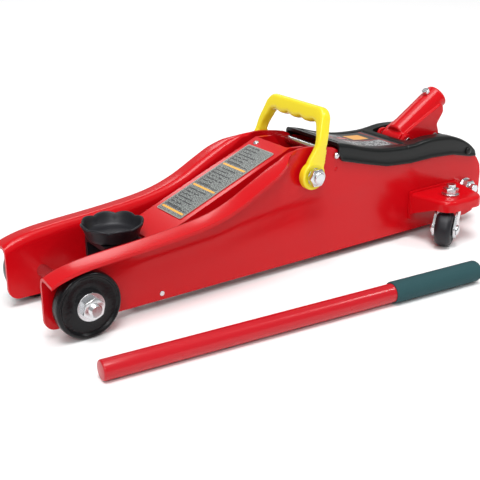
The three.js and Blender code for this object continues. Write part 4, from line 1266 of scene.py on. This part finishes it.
@dataclass
class CarryHandle:
    """The moulded carrying handle: two eyes, two legs and a grip with finger hollows."""

    lean: float = 19.0
    top: float = 67.5
    under: float = 51.2
    half_grip: float = 35.0
    section_steps: int = 40
    voxel: float = 0.7

    def _place(self) -> Matrix:
        """The handle's own frame, with its origin between the eyes."""
        turn = Matrix.Rotation(math.radians(self.lean), 4, "Y")
        return Matrix.Translation((SHAFT[0], 0.0, SHAFT[1])) @ turn

    def _halves(self) -> list[tuple[Pair, Pair]]:
        """Outer and inner points, from the left eye to the middle of the grip."""
        top, half = self.top, self.half_grip
        outer = [
            (-52.2, 4), (-52.1, 18), (-52, 34), (-50.4, 44), (-48.5, 50.5), (-46.6, 58.5),
            (-44.9, 61.8), (-42.5, 64.5), (-39.4, 66.6), (-36, top),
        ]
        inner = [
            (-44.6, 4), (-44.6, 18), (-44.6, 32), (-42.4, 39.5), (-40.2, 44), (-38.8, 47),
            (-37.8, 48.6), (-36.9, 49.8), (-36.2, 50.6), (-half, self.under),
        ]
        pairs = list(zip(spline(outer, 45), spline(inner, 45)))
        steps, hollow_start, depth = 30, -30, 2.6
        for k in range(1, steps + 1):
            y = -half + half * k / steps
            wave = abs(math.sin(math.pi * 3 * (y - hollow_start) / 60))
            hollow = 0.0 if y < hollow_start else depth * wave
            start = self.under + 1.3 * smoothstep(y, -half, hollow_start)
            pairs.append(((-36.0 + 36.0 * k / steps, top), (y, start - hollow)))
        return pairs

    def _arch(self) -> Form:
        """The legs and the grip as one sweep of rounded sections."""
        half = self._halves()
        whole = half + [((-a[0], a[1]), (-b[0], b[1])) for a, b in reversed(half[:-1])]
        place = self._place()
        rings = []
        squareness = 0.55
        for (ya, za), (yb, zb) in whole:
            height = (za + zb) / 2
            thick = 6.2 + 4.6 * (1 - smoothstep(height, 9, 30))
            middle = Vector((0.0, (ya + yb) / 2, height))
            reach = Vector((0.0, (ya - yb) / 2, (za - zb) / 2))
            ring = []
            for k in range(self.section_steps):
                angle = 2 * math.pi * k / self.section_steps
                c, s = math.cos(angle), math.sin(angle)
                u = math.copysign(abs(c) ** squareness, c)
                v = math.copysign(abs(s) ** squareness, s)
                ring.append(place @ (middle + reach * u + Vector((thick * v, 0.0, 0.0))))
            rings.append(ring)
        return Form().loft(rings)

    def build(self, ribs: Recipe) -> None:
        """Makes the handle as one moulded skin.

        Args:
            ribs: The recipe of the small ribs behind each leg.
        """
        forms = [self._arch()]
        eye = [
            (0.0, 0.0), (12.6, 0.0), (13.6, 0.4), (14.0, 1.4), (14.0, 6.6), (13.6, 7.6),
            (12.6, 8.0), (11.4, 8.0), (10.8, 7.2), (0.0, 7.2),
        ]
        for side in Side:
            forms.append(Form().lathe(eye, outward(side, SHAFT[0], 44.4, SHAFT[1]), 64))
            foot = self._place() @ Matrix.Translation((8.6, side.value * 48.4, 15.5))
            foot = foot @ Matrix.Rotation(-0.2, 4, "Y")
            forms.append(ribs.made(foot, YELLOW, Count=5, Pitch=3.0, Radius=1.1, Length=6.4))
        obj = moulded(linked("carry_handle", merged(*forms).mesh("handle")), self.voxel, 5)
        dressed("carry_handle", obj, YELLOW, "carrying_handle", "carry_handle", angle=70.0)


# ------------------------------------------------------------------------------- rear cover


@dataclass
class RearCover:
    """The moulded cover over the pump unit, with a raised border, its label and its rivets."""

    half_width: float = 43.8
    crown: float = 2.5
    wall: float = 2.3
    border: float = 1.3
    label_start: float = 304.0
    label_half: float = 31.0
    rivet: Pair = (485.0, 86.5)
    opening: Triple = (401.0, 480.0, 29.0)

    def _skirt(self, x: float) -> float:
        """The height of the skirts' lower edge."""
        line = [(292.5, 113.7), (297, 106.5), (330, 97.5), (360, 90), (395, 87.3), (428, 88)]
        return height_on(line + [(460, 86), (488, 79.5), (498, 78.5)], x)

    def _lift(self, x: float, y: float) -> float:
        """How far the border stands above the sunk panel."""
        edge = smoothstep(abs(y), 31.2, 33.0)
        lip = 1 - smoothstep(x, 298.5, 300.5)
        collar = smoothstep(x, 393.2, 394.8)
        groove = 0.7 * math.exp(-(((x - 391.6) / 0.6) ** 2)) * smoothstep(abs(y), 30, 31)
        return self.border * max(edge, lip, collar) - groove

    def _ring(self, x: float) -> Ring:
        """The cover's closed section at one distance."""
        top = height_on(COVER_LINE, x) + self.crown
        low = self._skirt(x)
        w = self.half_width
        stations = (0, 8, 16, 24, 29, 31.2, 31.8, 32.4, 33, 36)
        right = [(y, top + self._lift(x, y)) for y in stations]
        shoulder = self._lift(x, w)
        right += arc(w - 4.4, top + shoulder - 4.4, 4.4, 90, 0, 8)
        drop = top - 3.2 - low
        right += [(w, low + drop * t) for t in (0.62, 0.3)]
        right += [(w + 0.5, low + 3.0), (w + 0.8, low + 2.2), (w + 0.8, low + 0.5), (w + 0.4, low)]
        inner = w - self.wall
        right += [(inner, low), (inner, low + drop * 0.5)]
        right += arc(inner - 2.0, top - self.wall - 2.0, 2.0, 0, 90, 4)
        right += [(y, top - self.wall) for y in (30, 16, 0)]
        left = [(-y, z) for y, z in reversed(right[1:-1])]
        return [Vector((x, y, z)) for y, z in right + left]

    def shell(self) -> None:
        """Makes the shell, its rear wall, and the rounded opening for the handle socket."""
        stops = [292.5, 293.6, 295.5, 297.5, 298.5, 299.0, 299.6, 300.2, 300.6, 303.0]
        stops += [306.0 + 4.05 * k for k in range(21)]
        stops += [390.4, 390.9, 391.3, 391.6, 391.9, 392.3]
        stops += [392.8, 393.2, 393.7, 394.2, 394.8, 397.0]
        stops += [401.0 + 4.0 * k for k in range(24)] + [495.5, 498.0]
        shell = linked("rear_cover", Form().loft([self._ring(x) for x in stops]).mesh("shell"))
        x0, x1, w = self.opening
        outline = rounded([(x0, -w, 8), (x1, -w, 8), (x1, w, 8), (x0, w, 8)], 8)
        joined(shell, Form().prism(outline, 55.0, 140.0, Matrix.Identity(4)), "DIFFERENCE")
        wall = [(495.6, -37.4), (498.0, -37.4), (498.0, 37.4), (495.6, 37.4)]
        joined(shell, Form().prism(wall, 72.0, 84.0, Matrix.Identity(4)), "UNION")
        dressed("rear_cover", shell, BLACK_PLASTIC, "frame", "rear_cover", edge=0.45, steps=2)

    def label(self) -> None:
        """Makes the label sheet on the sunk panel, with millimetres of its own as its UV map."""
        rings = []
        last, pitch, corner, thickness = 43, 2.0, 2.0, 0.5
        for k in range(last + 1):
            x = self.label_start + pitch * k
            z = height_on(COVER_LINE, x) + self.crown + 0.3
            w = self.label_half - (corner if k in (0, last) else 0.0)
            across = [w * (j / 8 - 1) for j in range(17)]
            above = [Vector((x, y, z + thickness)) for y in across]
            rings.append(above + [Vector((x, y, z)) for y in reversed(across)])
        form = Form().loft(rings).mapped(self.label_start)
        labelled("cover_label", form, self._label_material(), "frame")

    def _label_material(self) -> bpy.types.Material:
        """A dark print with rows of small pale marks, an orange panel and thin red lines."""
        graph = Graph("cover_label_print")
        _, along, across = graph.print_map()
        row, mark, letter = across / 3.4, along / 2.2, along / 4.6
        cell = graph.node("ShaderNodeCombineXYZ", {}, {0: mark.floor(), 1: row.floor()})
        chance = graph.node(
            "ShaderNodeTexWhiteNoise", {"noise_dimensions": "2D"}, {"Vector": cell}, "Value"
        )
        rows = row.fraction().between(0.30, 0.72) * (mark.fraction() < 0.82) * (chance > 0.30)
        near = across.between(-28.0, -5.0) * along.between(24.0, 80.0)
        far = across.between(4.0, 26.0) * along.between(4.0, 44.0)
        title = across.between(6.0, 13.0) * along.between(8.0, 46.0)
        big = title * (chance > 0.2) * (letter.fraction() < 0.72)
        panel = along.between(50.0, 72.0) * across.between(3.0, 22.0)
        line = across.between(-3.2, -2.2) * along.between(6.0, 80.0) + along.between(81.5, 82.6)
        fine = graph.noise(700.0, 3.0)
        colour = graph.mix(fine, (0.030, 0.031, 0.033), (0.055, 0.056, 0.058))
        for mask, ink in (
            (near, (0.09, 0.092, 0.095)),
            (rows * (near + far * (1 - title)), (0.74, 0.75, 0.76)),
            (big, (0.78, 0.06, 0.05)),
            (panel, (0.82, 0.40, 0.10)),
            (line, (0.60, 0.03, 0.03)),
        ):
            colour = graph.mix(mask, colour, ink)
        graph.shade(Base_Color=colour, Roughness=fine * 0.1 + 0.28)
        graph.bump(fine, 0.01)
        return graph.material

    def rivets(self) -> None:
        """Makes the push rivets that hold the skirts."""
        head = [(0.0, 1.9), (1.6, 1.8), (3.0, 1.35), (3.9, 0.6), (4.1, 0.0), (0.0, 0.0)]
        x, z = self.rivet
        for side in Side:
            name = f"cover_rivet_{side.word}"
            rivet = Form().lathe(head, outward(side, x, self.half_width + 0.9, z), 32)
            dressed(name, rivet.mesh(name), BLACK_PLASTIC, "frame", name, angle=60.0)

    def build(self) -> None:
        """Makes the cover and what is on it."""
        self.shell()
        self.label()
        self.rivets()


# ------------------------------------------------------------------------------- rear casters


@dataclass
class RearBracket:
    """A pressed bracket outside a side plate, with a rolled edge and a tab down the plate."""

    side: Side
    shelf: float = 52.0
    plate: float = 41.4
    bend: float = 4.5
    thickness: float = 3.0

    def _path(self) -> list[Pair]:
        """The rim's line, from the plate round to the plate again."""
        y = -self.plate
        corners = [(399, y, 0), (408, -92, 16), (462, -92, 14), (476, y, 0)]
        return rounded(corners, 12)

    def _rim(self, y: float) -> float:
        """The height of the rim's lower edge, which climbs away from the plate."""
        return height_on([(41.0, 27.4), (74.0, 40.0), (100.0, 40.0)], abs(y))

    def form(self) -> Form:
        """The shelf and its rim as one closed form."""
        path = resampled(self._path(), 90)
        rings = []
        for k, (x, y) in enumerate(path):
            ahead, behind = path[max(k - 1, 0)], path[min(k + 1, len(path) - 1)]
            along = Vector((behind[0] - ahead[0], behind[1] - ahead[1])).normalized()
            inward = Vector((-along.y, along.x))
            outer, b, t = [], self.bend, self.thickness
            for j in range(7):
                a = math.pi / 2 * j / 6
                outer.append((b - b * math.sin(a), self.shelf - b + b * math.cos(a)))
            low = self._rim(y)
            outer += [(0.0, (self.shelf - b + low) / 2), (0.0, low)]
            under = [(t, low), (t, (self.shelf - b + low) / 2)]
            for j in range(5):
                a = math.pi / 2 * (1 - j / 4)
                under.append((b - (b - t) * math.sin(a), self.shelf - b + (b - t) * math.cos(a)))
            rings.append(
                [
                    Vector((x + inward.x * d, min(y + inward.y * d, -self.plate), z))
                    for d, z in outer + under
                ]
            )
        form = Form()
        bm = form.bm
        rows = [[bm.verts.new(p) for p in ring] for ring in rings]
        last = len(rows[0]) - 1
        for a, b in zip(rows, rows[1:]):
            for k in range(last):
                bm.faces.new((a[k], a[k + 1], b[k + 1], b[k]))
        bm.faces.new([row[0] for row in rows])
        bm.faces.new([row[last] for row in rows])
        bm.faces.new(rows[0])
        bm.faces.new(rows[-1])
        bm.faces.new((rows[0][0], rows[0][last], rows[-1][last], rows[-1][0]))
        return form

    def build(self) -> None:
        """Makes the bracket."""
        name = f"rear_bracket_{self.side.word}"
        flip = Matrix.Diagonal((1.0, -self.side.value, 1.0, 1.0))
        body = self.form().moved(lambda p: flip @ p)
        tab_corners = [
            (398, 54, 3), (398, 23, 2), (403, 20, 2), (410, 28, 3), (470, 31, 3), (475, 54, 3),
        ]
        tab = Form().prism(
            [(x, -z) for x, z in rounded(tab_corners, 6)], 0.0, self.thickness,
            Matrix.Translation((0.0, self.side.value * 41.35, 0.0))
            @ Matrix.Rotation(-math.pi / 2, 4, "X")
            @ Matrix.Diagonal((1.0, 1.0, self.side.value, 1.0)),
        )
        bracket = linked(name, body.mesh(name))
        joined(bracket, tab, "UNION")
        dressed(name, bracket, RED, "frame", name, edge=0.5, steps=3)


@dataclass
class Caster:
    """A swivelling rear caster: a zinc fork, its wheel and its riveted axle."""

    side: Side
    radius: float = 19.0
    kingpin: Pair = (432.0, 70.5)
    nut_seat: float = 52.3

    def _hub(self) -> Matrix:
        """A place in the middle of the wheel whose Z runs along its axle."""
        middle = centre(f"caster_wheel_{self.side.word}")
        x, y = self.kingpin
        trail = Vector((middle.x - x, middle.y - self.side.value * y, 0.0)).normalized()
        turn = Matrix.Rotation(math.atan2(trail.y, trail.x), 4, "Z")
        return Matrix.Translation(middle) @ turn @ Matrix.Rotation(math.pi / 2, 4, "X")

    def wheel(self) -> None:
        """Makes the wheel, with rounded shoulders and a hub on each side."""
        r = self.radius
        half = [
            (r, 0.0), (r, 2.6), (r - 0.25, 4.6), (r - 1.3, 6.8), (r - 2.7, 8.2), (r - 4.2, 8.9),
            (r - 5.0, 8.8), (r - 5.8, 8.0), (8.4, 6.8), (7.4, 7.6), (6.8, 8.8), (6.2, 9.0),
            (3.4, 9.0),
        ]
        profile = both_ends(half)
        wheel = Form().lathe([*profile, profile[0]], self._hub(), 96)
        name = f"caster_wheel_{self.side.word}"
        dressed(name, wheel.mesh(name), BLACK, f"{self.side.word}_caster_roller", name, angle=50.0)

    def fork(self) -> None:
        """Makes the fork, and the axle with a rivet's head on each end."""
        word = self.side.word
        body = f"{word}_caster"
        fork = Form.of_node(f"caster_fork_{word}").mesh("fork")
        dressed(f"caster_fork_{word}", fork, ZINC, body, f"caster_fork_{word}", edge=0.7, steps=3)
        half = [
            (3.0, 0.0), (3.0, 12.9), (5.6, 12.9), (5.7, 13.5), (5.0, 14.5), (3.6, 15.2),
            (1.8, 15.6), (0.0, 15.7),
        ]
        axle = Form().lathe(both_ends(half), self._hub(), 40)
        name = f"caster_axle_{word}"
        dressed(name, axle.mesh("axle"), ZINC, body, name, angle=50.0)

    def nut(self, recipe: Recipe) -> None:
        """Makes the nut on the kingpin, with the kingpin's rounded end through it."""
        x, y = self.kingpin
        place = Matrix.Translation((x, self.side.value * y, self.nut_seat))
        place = place @ Matrix.Rotation(0.3, 4, "Z")
        name = f"kingpin_nut_{self.side.word}"
        nut = recipe.made(place, ZINC, Flats=15.0, Height=8.0, Washer=9.6, Washer_Height=1.6)
        end = Form().lathe(
            [(0.0, 6.0), (5.0, 6.0), (5.0, 9.4), (4.6, 10.2), (3.6, 10.8), (0.0, 11.0)], place, 32
        )
        dressed(name, merged(nut, end).mesh(name), ZINC, frame_body(name), name, edge=0.3)

    def build(self, recipe: Recipe) -> None:
        """Makes the whole caster."""
        self.wheel()
        self.fork()
        self.nut(recipe)


# ------------------------------------------------------------------------------- handle socket


@dataclass
class HandleSocket:
    """The welded socket that the pump bar goes into."""

    x: float = 412.0
    z: float = 104.0
    tilt: float = 32.0
    length: float = 74.0
    outside: float = 13.5
    bore: float = 10.0
    cheek: float = 13.4
    cheek_thickness: float = 3.2
    voxel: float = 0.7

    def _place(self) -> Matrix:
        """The socket's own frame: X runs up the tube from its pivot."""
        turn = Matrix.Rotation(-math.radians(self.tilt), 4, "Y")
        return Matrix.Translation((self.x, 0.0, self.z)) @ turn

    def _cheek_outline(self) -> list[Pair]:
        """The cheeks' outline, from the pivot to the roller and up the tube."""
        roller = Matrix.Rotation(-math.radians(self.tilt), 2) @ Vector((46.0, -1.0))
        x, y, end = roller.x, roller.y, self.length
        corners = [
            (-6.5, 2, 5), (-4.5, -6.5, 5), (x - 4, y - 7, 6), (x + 7, y - 2, 6),
            (x + 9, y + 9, 3), (end - 12, -10, 5), (end - 8, 0, 4), (6, 6, 4),
        ]
        return rounded(corners, 6)

    def build(self) -> None:
        """Makes the socket as one welded and painted skin, and its lock screw."""
        place = self._place()
        end, r, b = self.length, self.outside, self.bore
        tube = Form().lathe(
            [
                (0.0, 3.0), (r - 2.0, 3.0), (r - 0.6, 3.6), (r, 5.0), (r, end - 1.4),
                (r - 0.5, end - 0.4), (r - 1.2, end), (b + 0.9, end), (b + 0.2, end - 0.4),
                (b, end - 1.2), (b, 22.0), (0.0, 22.0),
            ],
            place @ Matrix.Rotation(math.pi / 2, 4, "Y"), 96,
        )
        pivot = place @ Matrix.Rotation(math.pi / 2, 4, "X")
        barrel = Form().lathe(
            [
                (4.4, -13.6), (7.0, -13.6), (7.5, -13.0), (7.5, 13.0), (7.0, 13.6), (4.4, 13.6),
                (4.4, -13.6),
            ],
            pivot, 48,
        )
        forms = [tube, barrel]
        outline, t = self._cheek_outline(), self.cheek_thickness
        for low in (self.cheek, -self.cheek - t):
            forms.append(Form().prism(outline, low, low + t, pivot))
        bead = [(0, -2.2), (1.6, -1.5), (2.2, 0), (1.6, 1.5), (0, 2.2)]
        for side in Side:
            for x, z in ((10.0, 2.0), (24.0, 1.5), (38.0, 1.2)):
                spot = place @ Matrix.Translation((x, side.value * 12.6, z))
                forms.append(Form().lathe(bead, spot, 16))
        obj = moulded(linked("handle_socket", merged(*forms).mesh("socket")), self.voxel, 3)
        dressed("handle_socket", obj, RED, "socket", "handle_socket", angle=70.0)
        self.screw(place)

    def screw(self, place: Matrix) -> None:
        """Makes the lock screw, with a hexagon head."""
        spot = place @ Matrix.Translation((self.length - 12, 0.0, 0.0))
        b = self.bore
        shank = Form().lathe(
            [(0.0, b + 0.4), (2.6, b + 0.4), (3.0, b + 0.9), (3.0, 16), (0.0, 16)], spot, 24
        )
        hexagon = arc(0.0, 0.0, 4.6, 0, 300, 5)
        head = Form().prism(hexagon, self.outside + 0.3, self.outside + 4, spot)
        mesh = merged(shank, head).mesh("screw")
        dressed("socket_lock_screw", mesh, ZINC, "socket", "socket_lock_screw", edge=0.5)


# ------------------------------------------------------------------------------- pump bar


@dataclass
class PumpBar:
    """The loose bar, closed at its front end, with a rubber grip."""

    front: Pair = (-28.0, -130.5)
    turn: float = -5.23
    radius: float = 9.0
    wall: float = 1.8
    length: float = 400.0
    grip: float = 106.0
    grip_radius: float = 10.5

    def _place(self) -> Matrix:
        """The bar's own frame: Z runs along it from its front end."""
        rise = math.atan2(self.grip_radius - self.radius, self.length - self.grip)
        place = Matrix.Translation((*self.front, self.radius))
        place = place @ Matrix.Rotation(math.radians(self.turn), 4, "Z")
        return place @ Matrix.Rotation(math.pi / 2 - rise, 4, "Y")

    def build(self) -> None:
        """Makes the bar and its grip."""
        r, end = self.radius, self.length - 4
        inner = r - self.wall
        tube = [(0.0, 0.0), (r - 1.6, 0.0), (r - 0.9, 0.15), (r - 0.3, 0.6), (r, 1.5)]
        tube += [(r, 1.5 + (end - 1.9) * k / 12) for k in range(1, 12)]
        tube += [(r, end - 0.4), (r - 0.4, end), (inner, end), (inner, 3.0), (0.0, 3.0)]
        bar = Form().lathe(tube, self._place(), 64)
        dressed("pump_bar", bar.mesh("bar"), BAR_RED, "loose_bar", "pump_bar", angle=45.0)
        g, start = self.grip_radius, self.length - self.grip
        skin = [(r + 0.05, start), (g - 0.7, start), (g - 0.2, start + 0.3), (g, start + 1.0)]
        skin += [(g, start + 1.0 + (self.grip - 5.0) * k / 8) for k in range(1, 8)]
        stop = self.length
        skin += [(g, stop - 3.4), (g - 0.4, stop - 1.8), (g - 1.4, stop - 0.5), (g - 2.8, stop)]
        skin += [(3.4, stop), (2.8, stop - 0.6), (0.0, stop - 0.8), (0.0, stop - 3.8)]
        skin += [(r + 0.05, stop - 3.8), (r + 0.05, start)]
        grip = Form().lathe(skin, self._place(), 64)
        dressed("bar_grip", grip.mesh("grip"), GRIP_RUBBER, "loose_bar", "bar_grip", angle=45.0)


# ------------------------------------------------------------------------------- hidden works


def springs(recipe: Recipe) -> None:
    """Makes the two return springs and the plunger's spring."""
    for side in Side:
        name = f"return_spring_{side.word}"
        place = rearward(286.0, side.value * 32.3, 63.1)
        form = recipe.made(
            place, SPRING_WIRE, Turns=44.0, Radius=2.7, Length=104.5, Wire=0.65
        )
        dressed(name, form.mesh(name), SPRING_WIRE, "frame", name, angle=60.0)
    name, wire, clearance = "pump_spring", 0.9, 1.0
    low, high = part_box(name)
    middle = centre(name)
    radius = (high.x - low.x) / MM / 2 - wire
    length = (high.z - low.z) / MM - 2 * clearance
    place = Matrix.Translation((middle.x, middle.y, low.z / MM + clearance))
    form = recipe.made(place, SPRING_WIRE, Turns=6.0, Radius=radius, Length=length, Wire=wire)
    coil = dressed(name, form.mesh(name), SPRING_WIRE, "", name, angle=60.0)
    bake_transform(coil)


def copied(node: str, finish: Finish, edge: float) -> None:
    """Makes a rounded copy of a CAD node on the body that the node moves with."""
    dressed(node, Form.of_node(node).mesh(node), finish, frame_body(node), node, edge=edge, steps=2)


COPIES: list[tuple[str, Finish, float]] = [
    ("arm_lug_pin", STEEL, 0.6),
    ("saddle_pin", STEEL, 0.6),
    ("levelling_rod_left", BLACK, 0.6),
    ("levelling_rod_right", BLACK, 0.6),
    ("rod_pivot_pin_left", STEEL, 0.3),
    ("rod_pivot_pin_right", STEEL, 0.3),
    ("ram", STEEL, 0.6),
    ("ram_clevis", STEEL, 0.6),
    ("cylinder_head", RED, 0.6),
    ("ram_cylinder", STEEL, 0.0),
    ("oil_tank", RED, 0.5),
    ("filler_plug", BLACK_RUBBER, 0.4),
    ("pump_block", RED, 0.8),
    ("release_valve", ZINC, 0.4),
    ("pump_plunger", STEEL, 0.4),
    ("socket_pin", ZINC, 0.3),
    ("pump_roller", STEEL, 0.4),
    ("roller_pin", STEEL, 0.3),
]


# ------------------------------------------------------------------------------- studio


def lamp(name: str, place: Triple, size: float, power: float) -> None:
    """Adds a square soft lamp that faces the middle of the jack.

    Args:
        name: Its name.
        place: Where it stands, in metres.
        size: Its side, in metres.
        power: Its power, in watts.
    """
    aim = Vector((0.0, 0.0, 0.07))
    data = bpy.data.lights.new(name, "AREA")
    data.shape = "SQUARE"
    data.size = size
    data.energy = power
    obj = linked(name, data)
    obj.location = place
    obj.rotation_euler = (aim - Vector(place)).to_track_quat("-Z", "Y").to_euler()


def studio() -> None:
    """Makes the pale floor, the soft lamps and the even light of the room."""
    reach, level = 40.0, -0.0004
    floor = bpy.data.meshes.new("floor")
    corners = [(x * reach, y * reach, level) for x, y in ((-1, -1), (1, -1), (1, 1), (-1, 1))]
    floor.from_pydata(corners, [], [(0, 1, 2, 3)])
    graph = Graph("floor_paper")
    graph.shade(Base_Color=(0.94, 0.94, 0.94), Roughness=0.9, Specular_IOR_Level=0.1)
    floor.materials.append(graph.material)
    linked("floor", floor)
    sky = bpy.data.lights.new("sky_lamp", "SUN")
    sky.energy = 1.9
    sky.angle = math.radians(28)
    linked("sky_lamp", sky).rotation_euler = (math.radians(14), math.radians(-10), 0.0)
    lamp("top_lamp", (0.0, 0.2, 2.2), 1.2, 8.0)
    lamp("key_lamp", (-1.4, -1.5, 1.5), 0.7, 16.0)
    lamp("back_lamp", (0.5, 1.9, 1.4), 0.5, 3.0)
    lamp("bend_lamp", (1.0, -0.7, 1.4), 0.22, 5.0)
    world = bpy.data.worlds.new("room")
    world.use_nodes = True
    light = world.node_tree.nodes["Background"].inputs
    light["Color"].default_value = (1.0, 1.0, 1.0, 1.0)
    light["Strength"].default_value = 0.36
    bpy.context.scene.world = world
    bpy.context.scene.view_settings.view_transform = "Standard"


def camera() -> None:
    """Places the camera to the left of the front end, looking down along the jack."""
    lens, pitch, heading = 71.56, 21.3, 35.25
    stand = Vector((-325.6, -745.0, 383.9))
    data = bpy.data.cameras.new("camera")
    data.lens = lens
    data.sensor_width = 36.0
    obj = linked("camera", data)
    obj.location = AXLE + stand * MM
    obj.rotation_euler = (math.radians(90 - pitch), 0.0, math.radians(-heading))
    bpy.context.scene.camera = obj


def main() -> None:
    """Builds the jack, from its plates to its hidden works."""
    logging.basicConfig(level=logging.INFO, format="%(message)s")
    camera()
    studio()
    nuts, coils, ribs = nut_recipe(), coil_recipe(), rib_recipe()
    for side in Side:
        SidePlate(side).build()
        RearBracket(side).build()
        Caster(side).build(nuts)
    FrontWheels().build(nuts)
    tie_rod()
    for pin in (
        Pin("arm_stop_rod", STOP_ROD, 2.6, 41.8),
        Pin("arm_pivot_shaft", SHAFT, 6.0, 62.0, 1.2),
        Pin("unit_stud", STUD, 5.0, 58.0, 1.0),
    ):
        pin.build()
    side_nuts(
        "pivot_nut", nuts, SHAFT, 52.7, Flats=17.0, Height=6.4, Washer=9.0, Washer_Height=1.0
    )
    side_nuts(
        "stud_nut", nuts, STUD, 41.3, Flats=15.0, Height=10.0, Washer=9.5, Washer_Height=1.8
    )
    Saddle().build()
    LiftArm().build()
    CarryHandle().build(ribs)
    RearCover().build()
    HandleSocket().build()
    PumpBar().build()
    springs(coils)
    for node, finish, edge in COPIES:
        copied(node, finish, edge)


if __name__ == "__main__":
    main()
